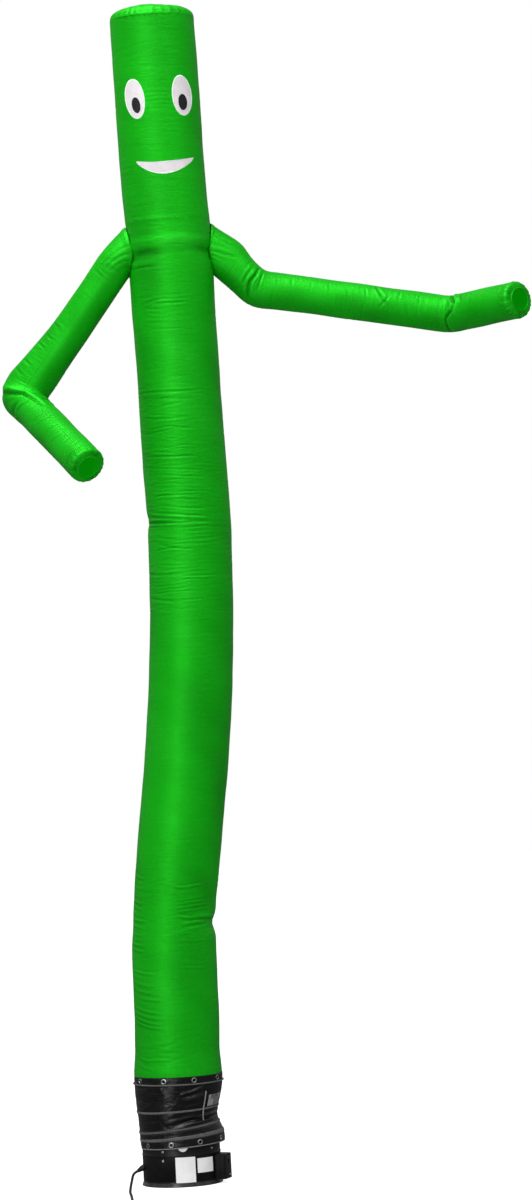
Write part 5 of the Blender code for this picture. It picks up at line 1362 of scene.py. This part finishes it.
def piping(name, node, centre, half_w, look, slot):
    """A rolled cord of vinyl that runs round or up the sleeve: centre(t) gives its line."""
    n = 220 if node == "collar_piping" else 40
    closed = node == "collar_piping"
    t = np.arange(n) / (n if closed else n - 1)
    line = centre(t)
    nxt = np.roll(line, -1, axis=0) if closed else np.gradient(line, axis=0) + line
    T = nxt - np.roll(line, 1, axis=0) if closed else np.gradient(line, axis=0)
    T /= np.linalg.norm(T, axis=1, keepdims=True)
    out = line * np.array([1, 1, 0])
    out /= np.linalg.norm(out, axis=1, keepdims=True)
    B = np.cross(T, out)
    B /= np.linalg.norm(B, axis=1, keepdims=True)
    k = np.arange(10) * TAU / 10
    P = line[:, None] + half_w * (out[:, None] * np.cos(k)[None, :, None] + B[:, None] * np.sin(k)[None, :, None])
    if closed:
        P = np.concatenate([P, P[:1]], 0)
    run = np.concatenate([[0], np.cumsum(np.linalg.norm(np.diff(P[:, 0], axis=0), axis=1))])
    o = grid(name, P, np.arange(11) * 0.002, run.reshape(-1, 1), look=look, slot=slot, replaces=[node])
    bm = bmesh.new()
    bm.from_mesh(o.data)
    bmesh.ops.remove_doubles(bm, verts=bm.verts, dist=1e-6)
    if not closed:
        bmesh.ops.holes_fill(bm, edges=[e for e in bm.edges if e.is_boundary], sides=0)
    bmesh.ops.recalc_face_normals(bm, faces=bm.faces)
    bm.to_mesh(o.data)
    bm.free()
    return o


PIPE = webbing("look_piping", 0.0030, 0.070, 0.110)
piping("collar_roll", "collar_piping", lambda t: sleeve_at(t * TAU, np.full(t.shape, 0.5448), 0.0048), 0.0034, PIPE, "black_webbing")


def column_angle(c):
    """The angle of the frame's own facets, which the side patch is set out by."""
    i = np.floor(c)
    half = 12

    def whole(i):
        i = i % 24
        return np.where(i < half, RIGHT_ARM_DEG + (LEFT_ARM_DEG - RIGHT_ARM_DEG) * i / half, LEFT_ARM_DEG + (RIGHT_ARM_DEG + 360 - LEFT_ARM_DEG) * (i - half) / half)

    a, b = whole(i), whole(i + 1)
    b = np.where(b < a, b + 360, b)
    return np.radians(a + (b - a) * (c - i))


def side_place(c, z, off):
    return sleeve_at(column_angle(np.asarray(c, float)), np.asarray(z, float), off)


side_panel()
piping("side_roll", "side_piping", lambda t: side_place(np.full(t.shape, 20.2), 0.334 + (0.500 - 0.334) * t, 0.0034 + 0.0 * t), 0.0034,
       plastic("look_side_roll", (0.16, 0.16, 0.16), (0.26, 0.26, 0.26), 0.30, 500.0), "black_webbing")


# ------------------------------------------------------------------ blower
def blower():
    base = [(0.1885, 0.0005), (0.2146, 0.0005), (0.2160, 0.0014), (0.2166, 0.0030), (0.2164, 0.0048), (0.2156, 0.0068), (0.2144, 0.0092), (0.2131, 0.0120),
            (0.2119, 0.0152), (0.2110, 0.0190), (0.2104, 0.0219), (0.1965, 0.0219), (0.1935, 0.0180), (0.1895, 0.0120), (0.1883, 0.0060)]
    lathe("blower_foot", base, 144, look=plastic("look_foot", (0.014, 0.014, 0.015), (0.030, 0.030, 0.031), 0.22, 700.0, 0.5), slot="blower_plastic", replaces=["blower_base"])
    b = BARREL_R
    barrel = [
        (b - 0.0030, 0.0223), (b - 0.0002, 0.0223), (b, 0.0232), (b, 0.0270), (b - 0.0009, 0.0278), (b - 0.0009, 0.0292), (b, 0.0300),
        (b, 0.1600), (b + 0.0002, 0.1630), (b + 0.0014, 0.1640), (b + 0.0016, 0.1662), (b + 0.0014, 0.1684), (b - 0.0006, 0.1694), (b - 0.0012, 0.1710),
        (b - 0.0012, 0.2100), (b - 0.0012, 0.2940), (b - 0.0016, 0.2980), (b - 0.0026, 0.2998), (b - 0.0040, 0.2998), (b - 0.0048, 0.2985), (b - 0.0048, 0.2920),
        (b - 0.0044, 0.1700), (b - 0.0032, 0.1640),
    ]
    lathe("blower_drum", barrel, 180, look=SHELL, slot="blower_plastic", replaces=["blower_barrel"])


def rounded_box(bm, place, sx, sy, sz, bevel, segments=3):
    made = bmesh.ops.create_cube(bm, size=1.0)["verts"]
    for v in made:
        v.co = Vector((v.co.x * sx, v.co.y * sy, v.co.z * sz))
    edges = list({e for v in made for e in v.link_edges})
    out = bmesh.ops.bevel(bm, geom=edges, offset=bevel, segments=segments, profile=0.7, affect="EDGES")
    verts = {v for f in out["faces"] for v in f.verts} | {v for v in made if v.is_valid}
    for v in verts:
        v.co = place @ v.co
    return verts


def control_box():
    """The switch housing: a rounded moulding that fits the drum, with a lid line, a rocker switch and ribs."""
    a0, a1 = math.radians(-33.0), math.radians(-5.5)
    out = Vector((math.cos(math.radians(-21.0)), math.sin(math.radians(-21.0)), 0))
    side = Vector((-out.y, out.x, 0))
    mid = out * (BARREL_R + 0.058)
    plan = [Vector((math.cos(a0 + (a1 - a0) * k / 10), math.sin(a0 + (a1 - a0) * k / 10), 0)) * (BARREL_R + 0.0022) for k in range(11)]
    plan += [mid + side * 0.050 - out * 0.010, mid + side * 0.042, mid - side * 0.042, mid - side * 0.050 - out * 0.010]
    bm = bmesh.new()
    low = [bm.verts.new((p.x, p.y, 0.0240)) for p in plan]
    high = [bm.verts.new((p.x, p.y, 0.1570)) for p in plan]
    bm.faces.new(low)
    bm.faces.new(high)
    for k in range(len(plan)):
        m = (k + 1) % len(plan)
        bm.faces.new([low[k], low[m], high[m], high[k]])
    bmesh.ops.recalc_face_normals(bm, faces=bm.faces)
    bmesh.ops.bevel(bm, geom=[e for e in bm.edges if e.calc_face_angle(0) > 0.35], offset=0.0030, segments=4, profile=0.6, affect="EDGES")
    solid("switch_housing", bm, look=SHELL, slot="blower_plastic", replaces=["control_box"], sharp=30)
    face_at = facing(mid + Vector((0, 0, 0.0905)), out)
    # a lid plate, and the rocker on it
    bm = bmesh.new()
    rounded_box(bm, face_at @ Matrix.Translation((0, 0.006, 0.0012)), 0.066, 0.090, 0.0030, 0.0012)
    solid("switch_lid", bm, look=plastic("look_lid", (0.012, 0.012, 0.013), (0.022, 0.022, 0.023), 0.30), slot="blower_plastic", sharp=30)
    bm = bmesh.new()
    rounded_box(bm, face_at @ Matrix.Translation((0, 0.026, 0.0042)), 0.024, 0.032, 0.0040, 0.0012)
    rounded_box(bm, face_at @ Matrix.Translation((0, 0.026, 0.0070)) @ Matrix.Rotation(math.radians(6), 4, "X"), 0.018, 0.025, 0.0050, 0.0010)
    for q in range(6):
        rounded_box(bm, face_at @ Matrix.Translation((0, 0.001 - 0.0062 * q, 0.0034)), 0.050, 0.0022, 0.0020, 0.0007, 2)
    solid("switch_rocker", bm, look=plastic("look_rocker", (0.006, 0.006, 0.006), (0.010, 0.010, 0.010), 0.22, 300.0, 0.3), slot="blower_plastic", sharp=30)


SCREW_LOOK = metal("look_screw", (0.80, 0.80, 0.80), 0.25)


def screw(name, node, place):
    """A pan head with a cross recess."""
    bm = bmesh.new()
    rings = [(0.0065, 0.0002), (0.0067, 0.0010), (0.0063, 0.0021), (0.0052, 0.0030), (0.0036, 0.0035)]
    made = [[bm.verts.new((r * math.cos(TAU * k / 24), r * math.sin(TAU * k / 24), z)) for k in range(24)] for r, z in rings]
    bm.faces.new(made[0])
    for a, b in zip(made, made[1:]):
        for k in range(24):
            bm.faces.new([a[k], a[(k + 1) % 24], b[(k + 1) % 24], b[k]])
    # the recess: a four-armed star sunk into the top
    star = []
    for k in range(24):
        arm = k % 6 in (0,)
        wide = k % 6 in (1, 5)
        r = 0.0030 if arm else (0.0028 if wide else 0.0010)
        star.append((r * math.cos(TAU * k / 24), r * math.sin(TAU * k / 24)))
    top = [bm.verts.new((x, y, 0.0036)) for x, y in star]
    deep = [bm.verts.new((x * 0.7, y * 0.7, 0.0018)) for x, y in star]
    for k in range(24):
        m = (k + 1) % 24
        bm.faces.new([made[-1][k], made[-1][m], top[m], top[k]])
        bm.faces.new([top[k], top[m], deep[m], deep[k]])
    bm.faces.new(deep)
    for v in bm.verts:
        v.co = place @ v.co
    return solid(name, bm, look=SCREW_LOOK, slot="grommet_steel", replaces=[node], sharp=30)


def on_drum(deg, z, off):
    a = math.radians(deg)
    return Vector(((BARREL_R + off) * math.cos(a), (BARREL_R + off) * math.sin(a), z)), Vector((math.cos(a), math.sin(a), 0))


blower()
control_box()
for name, deg, z in (("screw_1", 243.0, 0.188), ("screw_2", 243.0, 0.140), ("screw_3", -38.0, 0.193)):
    at, out = on_drum(deg, z, 0.0006)
    screw("head_" + name, name, facing(at, out) @ Matrix.Rotation(0.5, 4, "Z"))
out = Vector((math.cos(math.radians(-21.0)), math.sin(math.radians(-21.0)), 0))
side = Vector((-out.y, out.x, 0))
screw("head_screw_4", "screw_4", facing(out * (BARREL_R + 0.058) + side * 0.014 + out * 0.0003 + Vector((0, 0, 0.043)), out))


def finned_motor():
    """The motor: a cast can with cooling fins and a cap."""
    profile = [(0.062, 0.0045), (0.069, 0.010)]
    for q in range(12):
        z = 0.014 + 0.0086 * q
        profile += [(0.0700, z), (0.0700, z + 0.0034), (0.0655, z + 0.0046), (0.0655, z + 0.0074)]
    profile += [(0.0690, 0.1190), (0.0655, 0.1245), (0.0600, 0.1298), (0.0420, 0.1330), (0.0300, 0.1356)]
    return lathe("motor_can", profile, 96, closed=False, look=IRON, slot="motor_iron", replaces=["motor"], sharp=40)


finned_motor()

for node, look, slot in (
    ("label_large", PAPER, "bare_label"), ("label_small", PAPER, "bare_label"), ("round_sticker", PAPER, "bare_label"),
    ("blower_guard", SHELL, "blower_plastic"), ("cord_gland", RUBBER, "cord_rubber"), ("plug", RUBBER, "cord_rubber"),
    ("cord_tie", WEB, "black_webbing"), ("side_patch", PAPER, "bare_label"),
):
    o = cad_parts[node]
    o.data.materials.clear()
    o.data.materials.append(look)

# ------------------------------------------------------------------ floor, backdrop and light
floor_look = Look("studio_floor")
tone = floor_look.noise(floor_look.place(), 3.0, 2.0)
seen = floor_look.t.nodes.new("ShaderNodeLightPath").outputs["Is Camera Ray"]
floor_look.set(Emission_Color=(1, 1, 1, 1), Specular_IOR_Level=0.1)
floor_look.put(floor_look.s.inputs["Emission Strength"], floor_look.math("MULTIPLY", seen, 0.80))
ground = floor_look.mix(floor_look.remap(tone, 0.3, 0.7), (0.52, 0.52, 0.52), (0.56, 0.56, 0.56))
mirrored = floor_look.t.nodes.new("ShaderNodeLightPath").outputs["Is Glossy Ray"]
floor_look.done(floor_look.mix(floor_look.math("MULTIPLY", mirrored, 0.88), ground, (0.02, 0.02, 0.02)), 0.9)
bm = bmesh.new()
made = [[bm.verts.new((x, y, 0.0)) for x in (-40.0, 40.0)] for y in (-40.0, 40.0)]
for a, b in zip(made, made[1:]):
    bm.faces.new([a[0], a[1], b[1], b[0]])
mesh = bpy.data.meshes.new("floor")
bm.to_mesh(mesh)
bm.free()
mesh.shade_smooth()
floor = bpy.data.objects.new("floor", mesh)
scene.collection.objects.link(floor)
mesh.materials.append(floor_look.m)

world = bpy.data.worlds.new("studio")
scene.world = world
world.use_nodes = True
tree = world.node_tree
background = tree.nodes["Background"]
background.inputs["Color"].default_value = (1.0, 1.0, 1.0, 1.0)


def world_math(op, a, b):
    n = tree.nodes.new("ShaderNodeMath")
    n.operation = op
    for socket, value in zip(n.inputs, (a, b)):
        if isinstance(value, bpy.types.NodeSocket):
            tree.links.new(value, socket)
        else:
            socket.default_value = value
    return n.outputs[0]


# the room is brighter above and to the left, and plain white where the picture looks into it
split = tree.nodes.new("ShaderNodeSeparateXYZ")
tree.links.new(tree.nodes.new("ShaderNodeTexCoord").outputs["Generated"], split.inputs[0])
room = world_math("ADD", 0.46, world_math("MULTIPLY", split.outputs[2], 0.22))
room = world_math("ADD", room, world_math("MULTIPLY", split.outputs[0], -0.03))
path = tree.nodes.new("ShaderNodeLightPath")
room = world_math("MULTIPLY", room, world_math("SUBTRACT", 1.0, world_math("MULTIPLY", path.outputs["Is Glossy Ray"], 0.45)))
tree.links.new(world_math("MAXIMUM", room, path.outputs["Is Camera Ray"]), background.inputs["Strength"])


def lamp(name, at, aim, size, size_y, power):
    data = bpy.data.lights.new(name, "AREA")
    data.shape = "RECTANGLE"
    data.size, data.size_y = size, size_y
    data.energy = power
    o = bpy.data.objects.new(name, data)
    scene.collection.objects.link(o)
    w = (Vector(at) - Vector(aim)).normalized()
    o.matrix_world = facing(at, w)
    return o


lamp("key", (-3.6, -10.0, 12.5), (0.3, 0.0, 3.6), 3.8, 6.0, 560.0)
lamp("strip", (-5.2, -15.0, 4.6), (0.2, 0.0, 3.6), 1.2, 6.5, 275.0)
lamp("fill", (5.0, -6.0, 11.0), (0.4, 0.0, 5.4), 4.0, 4.0, 170.0)
lamp("low", (-4.9, -9.5, 0.80), (0.0, 0.0, 0.45), 0.55, 1.3, 95.0)
lamp("top", (-1.5, -2.0, 13.0), (0.3, 0.0, 3.0), 6.0, 6.0, 780.0)
